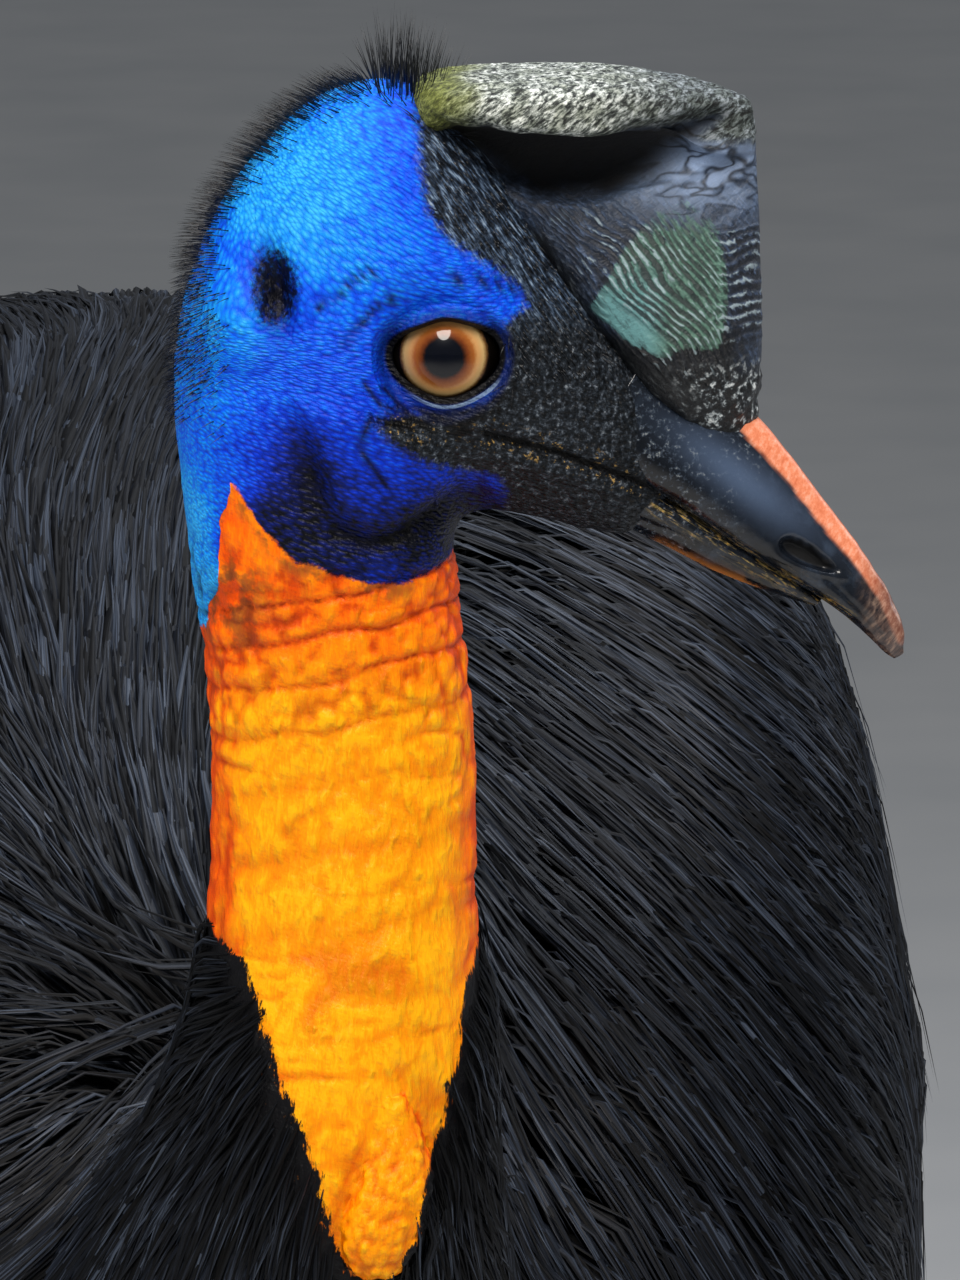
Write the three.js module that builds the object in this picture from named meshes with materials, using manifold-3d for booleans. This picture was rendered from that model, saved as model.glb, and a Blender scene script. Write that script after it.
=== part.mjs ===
// A northern cassowary at life size, standing, with its head turned to its left.
// Millimetres, +Z up. The body faces -Y and the bird's left is +X.
import * as THREE from 'three';
import { mergeVertices } from 'three/addons/utils/BufferGeometryUtils.js';
import Module from 'manifold-3d';

const wasm = await Module();
wasm.setup();

// Driving dimensions of the whole bird
const EYE_HEIGHT = 1100; // the middle of the head, between the eyes, above the floor
const EYE_FORWARD = 425; // the same point ahead of the hips
const EYE_ASIDE = 52; // and to the bird's left
const HEAD_TURN = -4; // degrees from +X, the way the bill points
const BACK_HEIGHT = 1021; // the top of the plumage
const BODY_HALF_WIDTH = 200; // at the tips of the plumage
const BELLY_EGG = -0.05; // how much wider the body is low down than high up
const GAP = 0.3; // left between touching pieces

// Head
const EYE_RADIUS = 14;
const EYE_OUT = 16.5; // the eyeball's middle from the middle of the head
const EYE_OPENING = 11.5; // half the width between the lids
const EAR_HOLE = [-38, 15]; // the ear's opening, behind and above the eye
const EAR_SWELL = [-49, 9]; // and the middle of the soft swelling behind it
const CHEEK = 30; // the cheek's surface from the middle of the head, at the eye
const JAW_LINE = -58; // where the head ends and the neck begins, below the eye

// Legs
const STANCE = 98; // from the middle of the body to each leg
const STRIDE = 32; // how far one foot stands ahead of the other
const ANKLE_HEIGHT = 345;
const FOOT_BACK = 66; // the foot's joint behind the hips
const FOOT_HEIGHT = 34; // the foot's joint above the floor
const TOES = [
  { name: 'inner', turn: 27, length: 84, width: 33, claw: 108, clawWidth: 21 },
  { name: 'middle', turn: 0, length: 152, width: 39, claw: 42, clawWidth: 19 },
  { name: 'outer', turn: -30, length: 104, width: 32, claw: 36, clawWidth: 16 },
];

const COLOURS = {
  plumage: 0x121317,
  crown: 0x1f8fe0,
  throat: 0xf08a12,
  horn: 0x1c2024,
  rim: 0x8f9488,
  iris: 0xb8752c,
  scales: 0x6f6a58,
  claw: 0x2a2622,
};

// Frames and small helpers
const v3 = (x, y, z) => new THREE.Vector3(x, y, z);
const turn = THREE.MathUtils.degToRad(HEAD_TURN);
const headFrame = new THREE.Matrix4()
  .makeRotationZ(turn)
  .setPosition(EYE_ASIDE, -EYE_FORWARD, EYE_HEIGHT);
// A point of the head: x towards the bill, y towards the bird's left cheek, z up
const onHead = (x, y, z) => v3(x, y, z).applyMatrix4(headFrame);
const headWay = (x, y, z) => v3(x, y, z).transformDirection(headFrame);

function closed(geometry) {
  geometry.deleteAttribute('normal');
  geometry.deleteAttribute('uv');
  return mergeVertices(geometry, 1e-4);
}

function signedVolume(geometry) {
  const p = geometry.attributes.position;
  const index = geometry.index.array;
  const [a, b, c] = [v3(), v3(), v3()];
  let sum = 0;
  for (let i = 0; i < index.length; i += 3) {
    a.fromBufferAttribute(p, index[i]);
    b.fromBufferAttribute(p, index[i + 1]);
    c.fromBufferAttribute(p, index[i + 2]);
    sum += a.dot(b.cross(c));
  }
  return sum / 6;
}

function solid(geometry) {
  const merged = closed(geometry);
  const triVerts = Uint32Array.from(merged.index.array);
  if (signedVolume(merged) < 0) triVerts.reverse();
  const vertProperties = Float32Array.from(merged.attributes.position.array);
  return new wasm.Manifold(new wasm.Mesh({ numProp: 3, vertProperties, triVerts }));
}

// A station is a cross-section: its middle, the way its back points, its half height and half
// width, how square it is (2 is an ellipse) and how much narrower its back is than its belly.
function station(middle, back, side, high, wide, square = 2, egg = 0) {
  return [...middle.toArray(), ...back.toArray(), ...side.toArray(), high, wide, square, egg];
}

// A closed body through the stations, made from a cylinder whose rings are moved onto them
function loft(stations, sides, stepsPerSpan, grow = 0) {
  const steps = (stations.length - 1) * stepsPerSpan;
  const track = new THREE.CubicInterpolant(
    stations.map((_, i) => i),
    stations.flat(),
    stations[0].length,
  );
  const rings = [];
  for (let i = 0; i <= steps; i += 1) {
    const s = Array.from(track.evaluate(i / stepsPerSpan));
    rings.push({
      middle: v3(s[0], s[1], s[2]),
      back: v3(s[3], s[4], s[5]).normalize(),
      side: v3(s[6], s[7], s[8]).normalize(),
      high: s[9] + grow,
      wide: s[10] + grow,
      power: 2 / s[11],
      egg: s[12],
    });
  }
  const first = rings[0].middle.clone().sub(rings[1].middle).setLength(grow);
  const last = rings[steps].middle.clone().sub(rings[steps - 1].middle).setLength(grow);
  rings[0].middle.add(first);
  rings[steps].middle.add(last);
  const geometry = new THREE.CylinderGeometry(1, 1, 1, sides, steps);
  const p = geometry.attributes.position;
  const bend = (x, power) => Math.sign(x) * Math.abs(x) ** power;
  for (let i = 0; i < p.count; i += 1) {
    const ring = rings[Math.round((0.5 - p.getY(i)) * steps)];
    const up = bend(p.getZ(i), ring.power);
    const across = bend(p.getX(i), ring.power) * (1 - ring.egg * up);
    const at = ring.middle
      .clone()
      .addScaledVector(ring.back, ring.high * up)
      .addScaledVector(ring.side, ring.wide * across);
    p.setXYZ(i, at.x, at.y, at.z);
  }
  return solid(geometry);
}

function ellipsoid(middle, radii, frame = new THREE.Matrix4(), around = 12, down = 6) {
  const geometry = new THREE.SphereGeometry(1, around, down);
  geometry.scale(...radii);
  geometry.translate(...middle);
  geometry.applyMatrix4(frame);
  return solid(geometry);
}

// Everything on the side of a plane that its normal points to
function beyond(point, normal) {
  const reach = 4000;
  const box = new THREE.BoxGeometry(reach, reach, reach);
  box.translate(0, 0, reach / 2);
  const turned = new THREE.Quaternion().setFromUnitVectors(v3(0, 0, 1), normal.clone().normalize());
  box.applyQuaternion(turned);
  box.translate(...point.toArray());
  return solid(box);
}

// Parts a body at a plane, with the gap between the two pieces
function part(body, point, normal) {
  const way = normal.clone().normalize();
  const far = body.intersect(beyond(point.clone().addScaledVector(way, GAP / 2), way));
  const back = way.clone().negate();
  const near = body.intersect(beyond(point.clone().addScaledVector(back, GAP / 2), back));
  return [near, far];
}

const bird = new THREE.Group();

function add(name, body, colour, roughness = 0.6) {
  const { vertProperties, triVerts } = body.getMesh();
  const geometry = new THREE.BufferGeometry();
  geometry.setAttribute('position', new THREE.BufferAttribute(vertProperties, 3));
  geometry.setIndex(new THREE.BufferAttribute(triVerts, 1));
  geometry.computeVertexNormals();
  const material = new THREE.MeshStandardMaterial({ color: colour, roughness, metalness: 0 });
  const mesh = new THREE.Mesh(geometry, material);
  mesh.name = name;
  bird.add(mesh);
}

// Head and neck
// The head's profile turns from the upright face to the level neck about the throat. Each
// station runs from a point on the crown and nape to one on the jaw and throat.
const HEAD_PROFILE = [
  // crown x, z, jaw x, z, half width, square, egg
  [58, -18, 46, -49, 14, 2.2, 0.1],
  [48, -3, 36, -47, 18, 2.1, 0.1],
  [34, 14, 26, -44, 22, 2, 0.1],
  [20, 32, 16, -42, 26, 2, 0.08],
  [6, 49, 9, -41.5, 29, 2.05, 0.05],
  [-9.6, 61.5, 4, -44, 31, 2.1, 0.02],
  [-29, 59, 2, -48, 32.5, 2.1, 0],
  [-47, 42.5, 1.5, -51, 32.5, 2.1, 0],
  [-59, 21, 2, -55, 31.5, 2.1, 0],
  [-64.8, -4, 2.4, -59, 30, 2.1, 0],
  [-63, -38, 2.8, -66, 28, 2.1, 0],
  [-58.4, -71, 4.5, -80, 26.5, 2.1, 0],
  [-56.4, -98, 7, -102, 27, 2.1, 0],
];
// Below the head the neck is given by its middle, and it untwists onto the body
const NECK_PATH = [
  // x, y, z, half depth, half width, degrees from +X to the way its back points, lean
  [27, -424, 962, 32.5, 29.5, 154, 0],
  [26, -425, 925, 35, 34.5, 126, 8],
  [20, -418, 888, 43, 44, 105, 20],
  [12, -398, 848, 60, 64, 94, 38],
  [5, -362, 806, 86, 96, 90, 56],
  [0, -312, 778, 112, 132, 90, 72],
];

function headStations() {
  const side = headWay(0, 1, 0);
  return HEAD_PROFILE.map(([cx, cz, jx, jz, wide, square, egg]) => {
    const crown = onHead(cx, 0, cz);
    const jaw = onHead(jx, 0, jz);
    const middle = crown.clone().add(jaw).multiplyScalar(0.5);
    const back = crown.clone().sub(jaw).normalize();
    return station(middle, back, side, crown.distanceTo(jaw) / 2, wide, square, egg);
  });
}

function neckStations() {
  return NECK_PATH.map(([x, y, z, deep, wide, degrees, lean]) => {
    const round = THREE.MathUtils.degToRad(degrees);
    const up = THREE.MathUtils.degToRad(lean);
    const level = v3(Math.cos(round), Math.sin(round), 0);
    const side = v3(level.y, -level.x, 0);
    const back = level.multiplyScalar(Math.cos(up)).addScaledVector(v3(0, 0, 1), Math.sin(up));
    return station(v3(x, y, z), back, side, deep, wide, 2.1);
  });
}

const headAndNeck = loft([...headStations(), ...neckStations()], 22, 1);
const NECK_LEVELS = [1000, 937]; // above the floor, where the neck's three lengths meet

// Trunk, to the tips of the plumage
const TRUNK_PROFILE = [
  // y, top and bottom as shares of the height, half width as a share of the widest, square
  [-448, 0.76, 0.7, 0.14, 2],
  [-432, 0.81, 0.645, 0.4, 2.1],
  [-385, 0.868, 0.59, 0.67, 2.25],
  [-305, 0.915, 0.545, 0.87, 2.7],
  [-190, 0.955, 0.51, 0.98, 3.4],
  [-60, 0.985, 0.49, 1, 4],
  [70, 1, 0.475, 1, 4],
  [200, 0.992, 0.462, 0.98, 3.4],
  [320, 0.95, 0.452, 0.9, 2.8],
  [420, 0.872, 0.446, 0.75, 2.4],
  [492, 0.77, 0.45, 0.57, 2.2],
  [536, 0.665, 0.475, 0.36, 2.1],
  [552, 0.59, 0.52, 0.12, 2],
];

function trunk(grow) {
  const stations = TRUNK_PROFILE.map(([y, top, bottom, wide, square]) => {
    const middle = v3(0, y, (BACK_HEIGHT * (top + bottom)) / 2);
    const high = (BACK_HEIGHT * (top - bottom)) / 2;
    const half = BODY_HALF_WIDTH * wide;
    return station(middle, v3(0, 0, 1), v3(1, 0, 0), high, half, square, BELLY_EGG);
  });
  return loft(stations, 24, 2, grow);
}

// The vestigial wing lies along the flank and droops to the rear
function wing(sign, grow) {
  const rows = [
    // y, z, half height, half thickness, out from the middle of the body
    [-105, 842, 6, 4, 198],
    [-75, 836, 26, 13, 199],
    [-10, 815, 36, 18, 200],
    [70, 778, 32, 16, 200],
    [135, 738, 20, 12, 199],
    [172, 712, 6, 4, 198],
  ];
  const stations = rows.map(([y, z, high, thick, out]) =>
    station(v3(sign * out, y, z), v3(0, 0.5, 0.87), v3(1, 0, 0), high, thick));
  return loft(stations, 10, 1, grow);
}

// Casque: a flat blade that flares to a broad top plate, narrow at the front
const CASQUE_LEVELS = [
  // z, rear x, front x, half width, square, egg
  [-24, 60, 75, 8, 2, 0.2],
  [-12, 47, 76.5, 15, 2.2, 0.25],
  [2, 36, 77, 18.5, 2.2, 0.25],
  [18, 23, 76.5, 17, 2.2, 0.3],
  [33, 11, 76, 13, 2.2, 0.3],
  [44, 3, 75.5, 12, 2.2, 0.35],
  [49, -3, 75, 16, 2.1, 0.4],
  [53, -8, 75, 22, 2.1, 0.55],
  [59, -8, 74.5, 22, 2.1, 0.55],
  [63.5, -3, 70, 18, 2.1, 0.55],
];

function casqueBody(grow) {
  const stations = CASQUE_LEVELS.map(([z, rear, front, wide, square, egg]) =>
    station(
      onHead((rear + front) / 2, 0, z),
      headWay(1, 0, 0),
      headWay(0, 1, 0),
      (front - rear) / 2,
      wide,
      square,
      egg,
    ));
  return loft(stations, 18, 1, grow);
}

// Bill: rows from the top edge to the bottom edge of each half, root to tip
const UPPER_BILL = [
  [60, -9, 43, -33, 15, 2, 0.3],
  [73, -19, 56, -40.5, 14, 2, 0.35],
  [81, -29.3, 67, -47.5, 12.5, 2, 0.35],
  [88.6, -39.6, 77, -54, 10.5, 2, 0.3],
  [98, -52, 88, -61, 8.4, 2, 0.25],
  [105.6, -64, 97.5, -68.5, 6.3, 2, 0.2],
  [109, -72.5, 104, -75.5, 3.6, 2, 0.1],
  [109.4, -77, 107.6, -78, 1, 2, 0],
];
const LOWER_BILL = [
  [41, -33.5, 42, -45, 13, 2, -0.2],
  [56, -41.5, 53, -50.5, 11.5, 2, -0.25],
  [68, -49, 64, -56.5, 9.8, 2, -0.25],
  [78, -55.5, 75, -61, 8, 2, -0.2],
  [85.5, -60.5, 83.5, -64, 5.8, 2, -0.1],
  [91, -64.8, 90, -66.3, 2.6, 2, 0],
];

function billHalf(rows, grow) {
  const side = headWay(0, 1, 0);
  const stations = rows.map(([tx, tz, bx, bz, wide, square, egg]) => {
    const top = onHead(tx, 0, tz);
    const bottom = onHead(bx, 0, bz);
    const middle = top.clone().add(bottom).multiplyScalar(0.5);
    const back = top.clone().sub(bottom).normalize();
    return station(middle, back, side, top.distanceTo(bottom) / 2, wide, square, egg);
  });
  return loft(stations, 12, 1, grow);
}

// Wattle: one short flap that hangs from the front of the neck
const WATTLE = [
  // x, y, z, half depth, half width
  [41, -451, 928, 4, 4],
  [40, -456, 918, 8, 8],
  [37, -462, 903, 9, 10],
  [34, -465, 887, 8.5, 10.5],
  [32, -464, 877, 5.5, 7],
  [32, -463, 874, 1.5, 2],
];

function wattleBody(grow) {
  const stations = WATTLE.map(([x, y, z, deep, wide]) =>
    station(v3(x, y, z), v3(-0.3, 0.95, 0), v3(0.95, 0.3, 0), deep, wide, 2.2));
  return loft(stations, 10, 1, grow);
}

// Ear: the soft swelling behind the ear's opening
function earBody(sign, grow) {
  const [back, up] = EAR_SWELL;
  const sunk = 6; // how deep its middle lies in the cheek
  const middle = [back, sign * (CHEEK - sunk), up];
  return ellipsoid(middle, [8 + grow, 7.5 + grow, 11 + grow], headFrame, 8, 6);
}

function eyeBody(sign, grow) {
  const radius = EYE_RADIUS + grow;
  return ellipsoid([0, sign * EYE_OUT, 0], [radius, radius, radius], headFrame, 12, 8);
}

const casque = casqueBody(0);
const upperBill = billHalf(UPPER_BILL, 0).subtract(casqueBody(GAP));
const lowerBill = billHalf(LOWER_BILL, 0).subtract(billHalf(UPPER_BILL, GAP));

let throatAndHead = headAndNeck;
for (const cutter of [
  casqueBody(GAP),
  billHalf(UPPER_BILL, GAP),
  billHalf(LOWER_BILL, GAP),
  wattleBody(GAP),
]) {
  throatAndHead = throatAndHead.subtract(cutter);
}
for (const sign of [-1, 1]) {
  const opening = [0, sign * CHEEK, 0];
  const earHole = [EAR_HOLE[0], sign * CHEEK, EAR_HOLE[1]];
  throatAndHead = throatAndHead
    .subtract(eyeBody(sign, GAP))
    .subtract(ellipsoid(opening, [EYE_OPENING, 5, EYE_OPENING - 1], headFrame))
    .subtract(ellipsoid(earHole, [4, 5, 6.5], headFrame, 8, 6))
    .subtract(earBody(sign, GAP));
}

// The flesh is parted where a person would name its parts
const [belowHead, head] = part(throatAndHead, onHead(0, 0, JAW_LINE), headWay(0, 0, 1));
const [belowUpper, neckUpper] = part(belowHead, v3(0, 0, NECK_LEVELS[0]), v3(0, 0, 1));
const [belowMiddle, neckMiddle] = part(belowUpper, v3(0, 0, NECK_LEVELS[1]), v3(0, 0, 1));
const whole = belowMiddle.add(trunk(0)).subtract(wing(-1, GAP)).subtract(wing(1, GAP));
const [body, neckLower] = part(whole, v3(0, -400, 882), v3(0, -0.55, 0.84));
const [behindBreast, breast] = part(body, v3(0, -215, 700), v3(0, -1, 0));
const [middleTrunk, tail] = part(behindBreast, v3(0, 300, 700), v3(0, 1, 0));

add('head', head, COLOURS.crown);
add('casque', casque, COLOURS.rim, 0.45);
add('bill_upper', upperBill, COLOURS.horn, 0.3);
add('bill_lower', lowerBill, COLOURS.horn, 0.3);
add('neck_upper', neckUpper, COLOURS.throat);
add('neck_middle', neckMiddle, COLOURS.throat);
add('neck_lower', neckLower, COLOURS.plumage);
add('wattle', wattleBody(0), COLOURS.throat);
add('breast', breast, COLOURS.plumage);
add('trunk', middleTrunk, COLOURS.plumage);
add('tail', tail, COLOURS.plumage);

// Legs
const floor = beyond(v3(0, 0, 0), v3(0, 0, 1));
const trunkGrown = trunk(GAP);

function thighBody(sign, ahead) {
  const hip = 640; // above the floor, inside the plumage
  const rows = [
    // out from the leg's line, y, z, half depth, half width
    [6, 4, hip, 100, 66],
    [6, 30, 575, 92, 64],
    [4, 64, 505, 74, 56],
    [2, 94, 440, 54, 45],
    [0, 114, 398, 40, 36],
    [0, 123, 372, 32, 31],
  ];
  const stations = rows.map(([out, y, z, deep, wide]) => {
    const shift = (ahead * (hip - z)) / (hip - ANKLE_HEIGHT);
    const middle = v3(sign * (STANCE + out), y - shift, z);
    return station(middle, v3(0, 0.92, 0.4), v3(1, 0, 0), deep, wide, 2.1);
  });
  return loft(stations, 14, 1);
}

function shankBody(sign, ahead) {
  const rows = [
    // y, z, half depth, half width
    [124, ANKLE_HEIGHT + 34, 27, 25],
    [128, ANKLE_HEIGHT + 8, 30, 29],
    [126, ANKLE_HEIGHT - 16, 28, 28],
    [118, ANKLE_HEIGHT - 55, 22.5, 21.5],
    [100, 190, 20.5, 19.5],
    [82, 110, 21, 22],
    [FOOT_BACK + 8, 66, 23, 27],
    [FOOT_BACK, FOOT_HEIGHT, 24, 28],
  ];
  const stations = rows.map(([y, z, deep, wide]) =>
    station(v3(sign * STANCE, y - ahead, z), v3(0, 1, 0), v3(1, 0, 0), deep, wide, 2.3));
  return loft(stations, 10, 1);
}

function footBody(sign, ahead, grow) {
  const sunk = 8; // the pad's middle below the joint, so that its underside is cut flat
  const middle = [sign * STANCE, FOOT_BACK - ahead, FOOT_HEIGHT - sunk];
  return ellipsoid(middle, [33 + grow, 37 + grow, 30 + grow], undefined, 12, 7);
}

// A toe lies level, with knuckles, and its claw carries on ahead of it
function toeFrame(sign, ahead, toe) {
  const way = THREE.MathUtils.degToRad(toe.turn);
  const forward = v3(-sign * Math.sin(way), -Math.cos(way), 0);
  const side = v3(-forward.y, forward.x, 0);
  const root = v3(sign * STANCE, FOOT_BACK - ahead, 0);
  return { root, forward, side };
}

function toeBody(sign, ahead, toe, grow = 0) {
  const { root, forward, side } = toeFrame(sign, ahead, toe);
  const up = v3(0, 0, 1);
  const half = toe.width / 2;
  const knuckles = 3;
  const count = 2 * knuckles + 1;
  const stations = [];
  const start = 6; // ahead of the foot's joint, inside the foot
  const clear = 0.86; // the middle's height as a share of the half height, so the sole is flat
  for (let i = 0; i < count; i += 1) {
    const t = i / (count - 1);
    const swell = i % 2 === 1 ? 1.06 : 0.94;
    const wide = half * (1 - 0.34 * t) * swell;
    const high = half * (1.05 - 0.45 * t) * swell;
    const middle = root.clone().addScaledVector(forward, start + t * (toe.length - start));
    middle.z = high * clear;
    stations.push(station(middle, up, side, high, wide, 2.2));
  }
  return loft(stations, 8, 1, grow).intersect(floor);
}

function clawBody(sign, ahead, toe) {
  const { root, forward, side } = toeFrame(sign, ahead, toe);
  const rows = [
    // along the claw, thickness, height of its middle, both as shares of the claw's half width
    [0, 0.95, 1.75],
    [0.22, 1, 1.85],
    [0.5, 0.74, 1.7],
    [0.78, 0.42, 1.3],
    [0.97, 0.1, 0.8],
  ];
  const half = toe.clawWidth / 2;
  const deeper = 1.1; // a claw is a little deeper than it is wide
  const stations = rows.map(([t, thick, height]) => {
    const middle = root.clone().addScaledVector(forward, toe.length + GAP + t * toe.claw);
    middle.z = half * height;
    return station(middle, v3(0, 0, 1), side, half * thick * deeper, half * thick, 2, 0.1);
  });
  return loft(stations, 8, 1);
}

for (const [sign, side] of [[-1, 'right'], [1, 'left']]) {
  const ahead = (-sign * STRIDE) / 2;
  const foot = footBody(sign, ahead, 0);
  const footGrown = footBody(sign, ahead, GAP);
  add(`eye_${side}`, eyeBody(sign, 0), COLOURS.iris, 0.1);
  add(`ear_${side}`, earBody(sign, 0), COLOURS.crown);
  add(`wing_${side}`, wing(sign, 0), COLOURS.plumage);
  const thigh = thighBody(sign, ahead);
  const shank = shankBody(sign, ahead);
  const leg = thigh.subtract(trunkGrown);
  const ankle = v3(0, 0, ANKLE_HEIGHT + 32);
  add(`thigh_${side}`, part(leg, ankle, v3(0, 0, 1))[1], COLOURS.plumage);
  add(`shank_${side}`, part(shank, ankle, v3(0, 0, 1))[0].subtract(footGrown), COLOURS.scales);
  const toes = TOES.map((toe) => {
    let body = toeBody(sign, ahead, toe).subtract(footGrown);
    if (toe.turn !== 0) body = body.subtract(toeBody(sign, ahead, TOES[1], GAP));
    return body;
  });
  add(`foot_${side}`, foot.intersect(floor), COLOURS.scales);
  TOES.forEach((toe, i) => {
    add(`toe_${toe.name}_${side}`, toes[i], COLOURS.scales);
    add(`claw_${toe.name}_${side}`, clawBody(sign, ahead, toe), COLOURS.claw, 0.35);
  });
}

// The origin is on the floor, under the middle of the bird's box
const box = new THREE.Box3().setFromObject(bird, true);
const middle = box.getCenter(v3());
bird.position.set(-middle.x, -middle.y, -box.min.z);
bird.updateMatrixWorld(true);

export default bird;
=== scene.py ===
# %% [markdown]
# # A northern cassowary at life size
# The bird stands on a pale floor and looks to its left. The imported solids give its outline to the
# tips of the plumage, and every visible surface is made here around them. Lengths are in
# millimetres in the maths and turn to metres when a mesh is made.

import math
from functools import partial
from itertools import product

import bmesh
import bpy
import numpy as np
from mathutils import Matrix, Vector
from mathutils.bvhtree import BVHTree


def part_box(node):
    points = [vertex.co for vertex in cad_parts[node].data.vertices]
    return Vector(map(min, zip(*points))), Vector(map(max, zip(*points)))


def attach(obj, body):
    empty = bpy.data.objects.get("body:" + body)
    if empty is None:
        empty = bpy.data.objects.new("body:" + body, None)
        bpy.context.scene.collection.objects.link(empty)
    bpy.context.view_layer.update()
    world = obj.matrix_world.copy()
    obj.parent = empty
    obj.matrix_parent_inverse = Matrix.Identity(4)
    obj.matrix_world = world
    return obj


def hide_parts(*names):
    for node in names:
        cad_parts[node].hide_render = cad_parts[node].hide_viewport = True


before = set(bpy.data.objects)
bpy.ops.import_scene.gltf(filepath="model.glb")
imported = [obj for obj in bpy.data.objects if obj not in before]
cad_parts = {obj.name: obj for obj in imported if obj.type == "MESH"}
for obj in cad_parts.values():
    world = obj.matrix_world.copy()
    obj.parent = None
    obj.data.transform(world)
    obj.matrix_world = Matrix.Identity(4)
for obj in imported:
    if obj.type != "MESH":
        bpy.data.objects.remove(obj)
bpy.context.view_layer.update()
MM = 0.001
SIDES = (("right", -1), ("left", 1))  # each side, with its sign along the bird's width

# %% [markdown]
# ## Where the head is
# The head turns away from the body, so its features are placed in a frame of its own: x runs
# towards the bill, y to the bird's left cheek and z up. The two eyeballs of the solid model give
# that frame, because its origin is midway between them.


# %% The head's frame
def middle_of(node):
    """The middle of a solid's box, in millimetres."""
    low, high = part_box(node)
    return (np.array(low) + np.array(high)) / 2 / MM


EYE_RIGHT, EYE_LEFT = middle_of("eye_right"), middle_of("eye_left")
EYE_RADIUS = (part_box("eye_right")[1].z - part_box("eye_right")[0].z) / 2 / MM
EYE_OUT = np.linalg.norm(EYE_LEFT - EYE_RIGHT) / 2
HEAD_AT = (EYE_RIGHT + EYE_LEFT) / 2
HEAD_Y = (EYE_LEFT - EYE_RIGHT) / (2 * EYE_OUT)
HEAD_Z = np.array([0.0, 0.0, 1.0])
HEAD_X = np.cross(HEAD_Y, HEAD_Z)
HEAD_AXES = np.array([HEAD_X, HEAD_Y, HEAD_Z])


def to_head(points):
    return (np.asarray(points, float) - HEAD_AT) @ HEAD_AXES.T


def from_head(points):
    return np.asarray(points, float) @ HEAD_AXES + HEAD_AT


print("head at", HEAD_AT.round(1), "eyeball radius", round(EYE_RADIUS, 1))

# %% [markdown]
# ## Camera
# The photograph was taken with a long lens, from the front right of the bird and a little above.
# The eye sits left of the middle of the picture and above it, so the camera is aimed from the eye.

# %% Camera
VIEW_TURN = math.radians(-4)
VIEW_RISE = math.radians(11)
VIEW_DISTANCE = 2700
VIEW_HEIGHT_SEEN = 307.2  # of the picture's long side, at the eye
EYE_IN_PICTURE = (8.64, -67.7)  # from the eye to the picture's middle, right and up
right = np.array([math.cos(VIEW_TURN), math.sin(VIEW_TURN), 0])
ahead = np.array([
    -math.sin(VIEW_TURN) * math.cos(VIEW_RISE),
    math.cos(VIEW_TURN) * math.cos(VIEW_RISE),
    -math.sin(VIEW_RISE),
])
upward = np.cross(right, ahead)
target = EYE_RIGHT - HEAD_Y * EYE_RADIUS + right * EYE_IN_PICTURE[0] + upward * EYE_IN_PICTURE[1]

camera_data = bpy.data.cameras.new("camera")
camera_data.sensor_fit = "AUTO"
camera_data.sensor_width = 36
camera_data.lens = camera_data.sensor_width * VIEW_DISTANCE / VIEW_HEIGHT_SEEN
camera_data.clip_end = 50
camera = bpy.data.objects.new("camera", camera_data)
camera.location = Vector((target - ahead * VIEW_DISTANCE) * MM)
camera.rotation_euler = Vector(ahead).to_track_quat("-Z", "Y").to_euler()
bpy.context.scene.collection.objects.link(camera)
bpy.context.scene.camera = camera
VIEW_AXES = np.array([right, upward, ahead])
VIEW_FROM = target - ahead * VIEW_DISTANCE
print("camera at", [round(v, 3) for v in camera.location], "lens", round(camera_data.lens))

# %% [markdown]
# ## Helpers for shape
# Most of the bird is a loft: cross-sections along a path, each a squared ellipse. Noise gives
# skin and horn their unevenness. It is worked out from the place alone, so it is the same each
# run.


# %% Noise and easing
def cell_number(cell, seed):
    """A number for each cell of a grid that looks random but never changes."""
    return cell[:, 0] * 73856093 ^ cell[:, 1] * 19349663 ^ cell[:, 2] * 83492791 ^ seed


def stirred(number):
    """The next random-looking number after this one."""
    return ((number ^ (number >> 13)) * 1274126177) & 0xFFFFFFFF


def noise(points, size, seed=0):
    """Smooth noise from -1 to 1, with blobs about size across."""
    q = np.asarray(points, float) / size
    cell = np.floor(q).astype(np.int64)
    f = q - cell
    f = f * f * (3 - 2 * f)
    total = np.zeros(len(q))
    for corner in product((0, 1), repeat=3):
        h = stirred(cell_number(cell + corner, seed * 7919 + 13) & 0xFFFFFFFF)
        value = ((h ^ (h >> 16)) & 0xFFFF) / 32767.5 - 1
        total += value * np.prod(np.where(corner, f, 1 - f), axis=1)
    return total


def cells(points, size, seed=0):
    """Distance to the nearest of many scattered points, about 0 to 1."""
    q = np.asarray(points, float) / size
    base = np.floor(q).astype(np.int64)
    best = np.full(len(q), 9.0)
    for step in product((-1, 0, 1), repeat=3):
        h = cell_number(base + step, seed * 7919 + 71)
        where = []
        for _ in range(3):
            h = stirred(h)
            where.append((h & 0xFFFF) / 65535)
        best = np.minimum(best, np.linalg.norm(base + step + np.stack(where, 1) - q, axis=1))
    return best


def layered(points, size, octaves=3, seed=0):
    """Noise with finer and finer layers, each half as strong as the last."""
    total = sum(noise(points, size / 2**k, seed + k) / 2**k for k in range(octaves))
    return total / sum(0.5**k for k in range(octaves))


def ease(low, high, x):
    """0 below low, 1 above high and smooth between them; low may be the greater."""
    t = np.clip((np.asarray(x, float) - low) / (high - low), 0, 1)
    return t * t * (3 - 2 * t)


def bump(distance, width):
    """1 at distance 0, falling smoothly to about nothing at twice the width."""
    return np.exp(-((np.asarray(distance, float) / width) ** 2))


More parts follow.
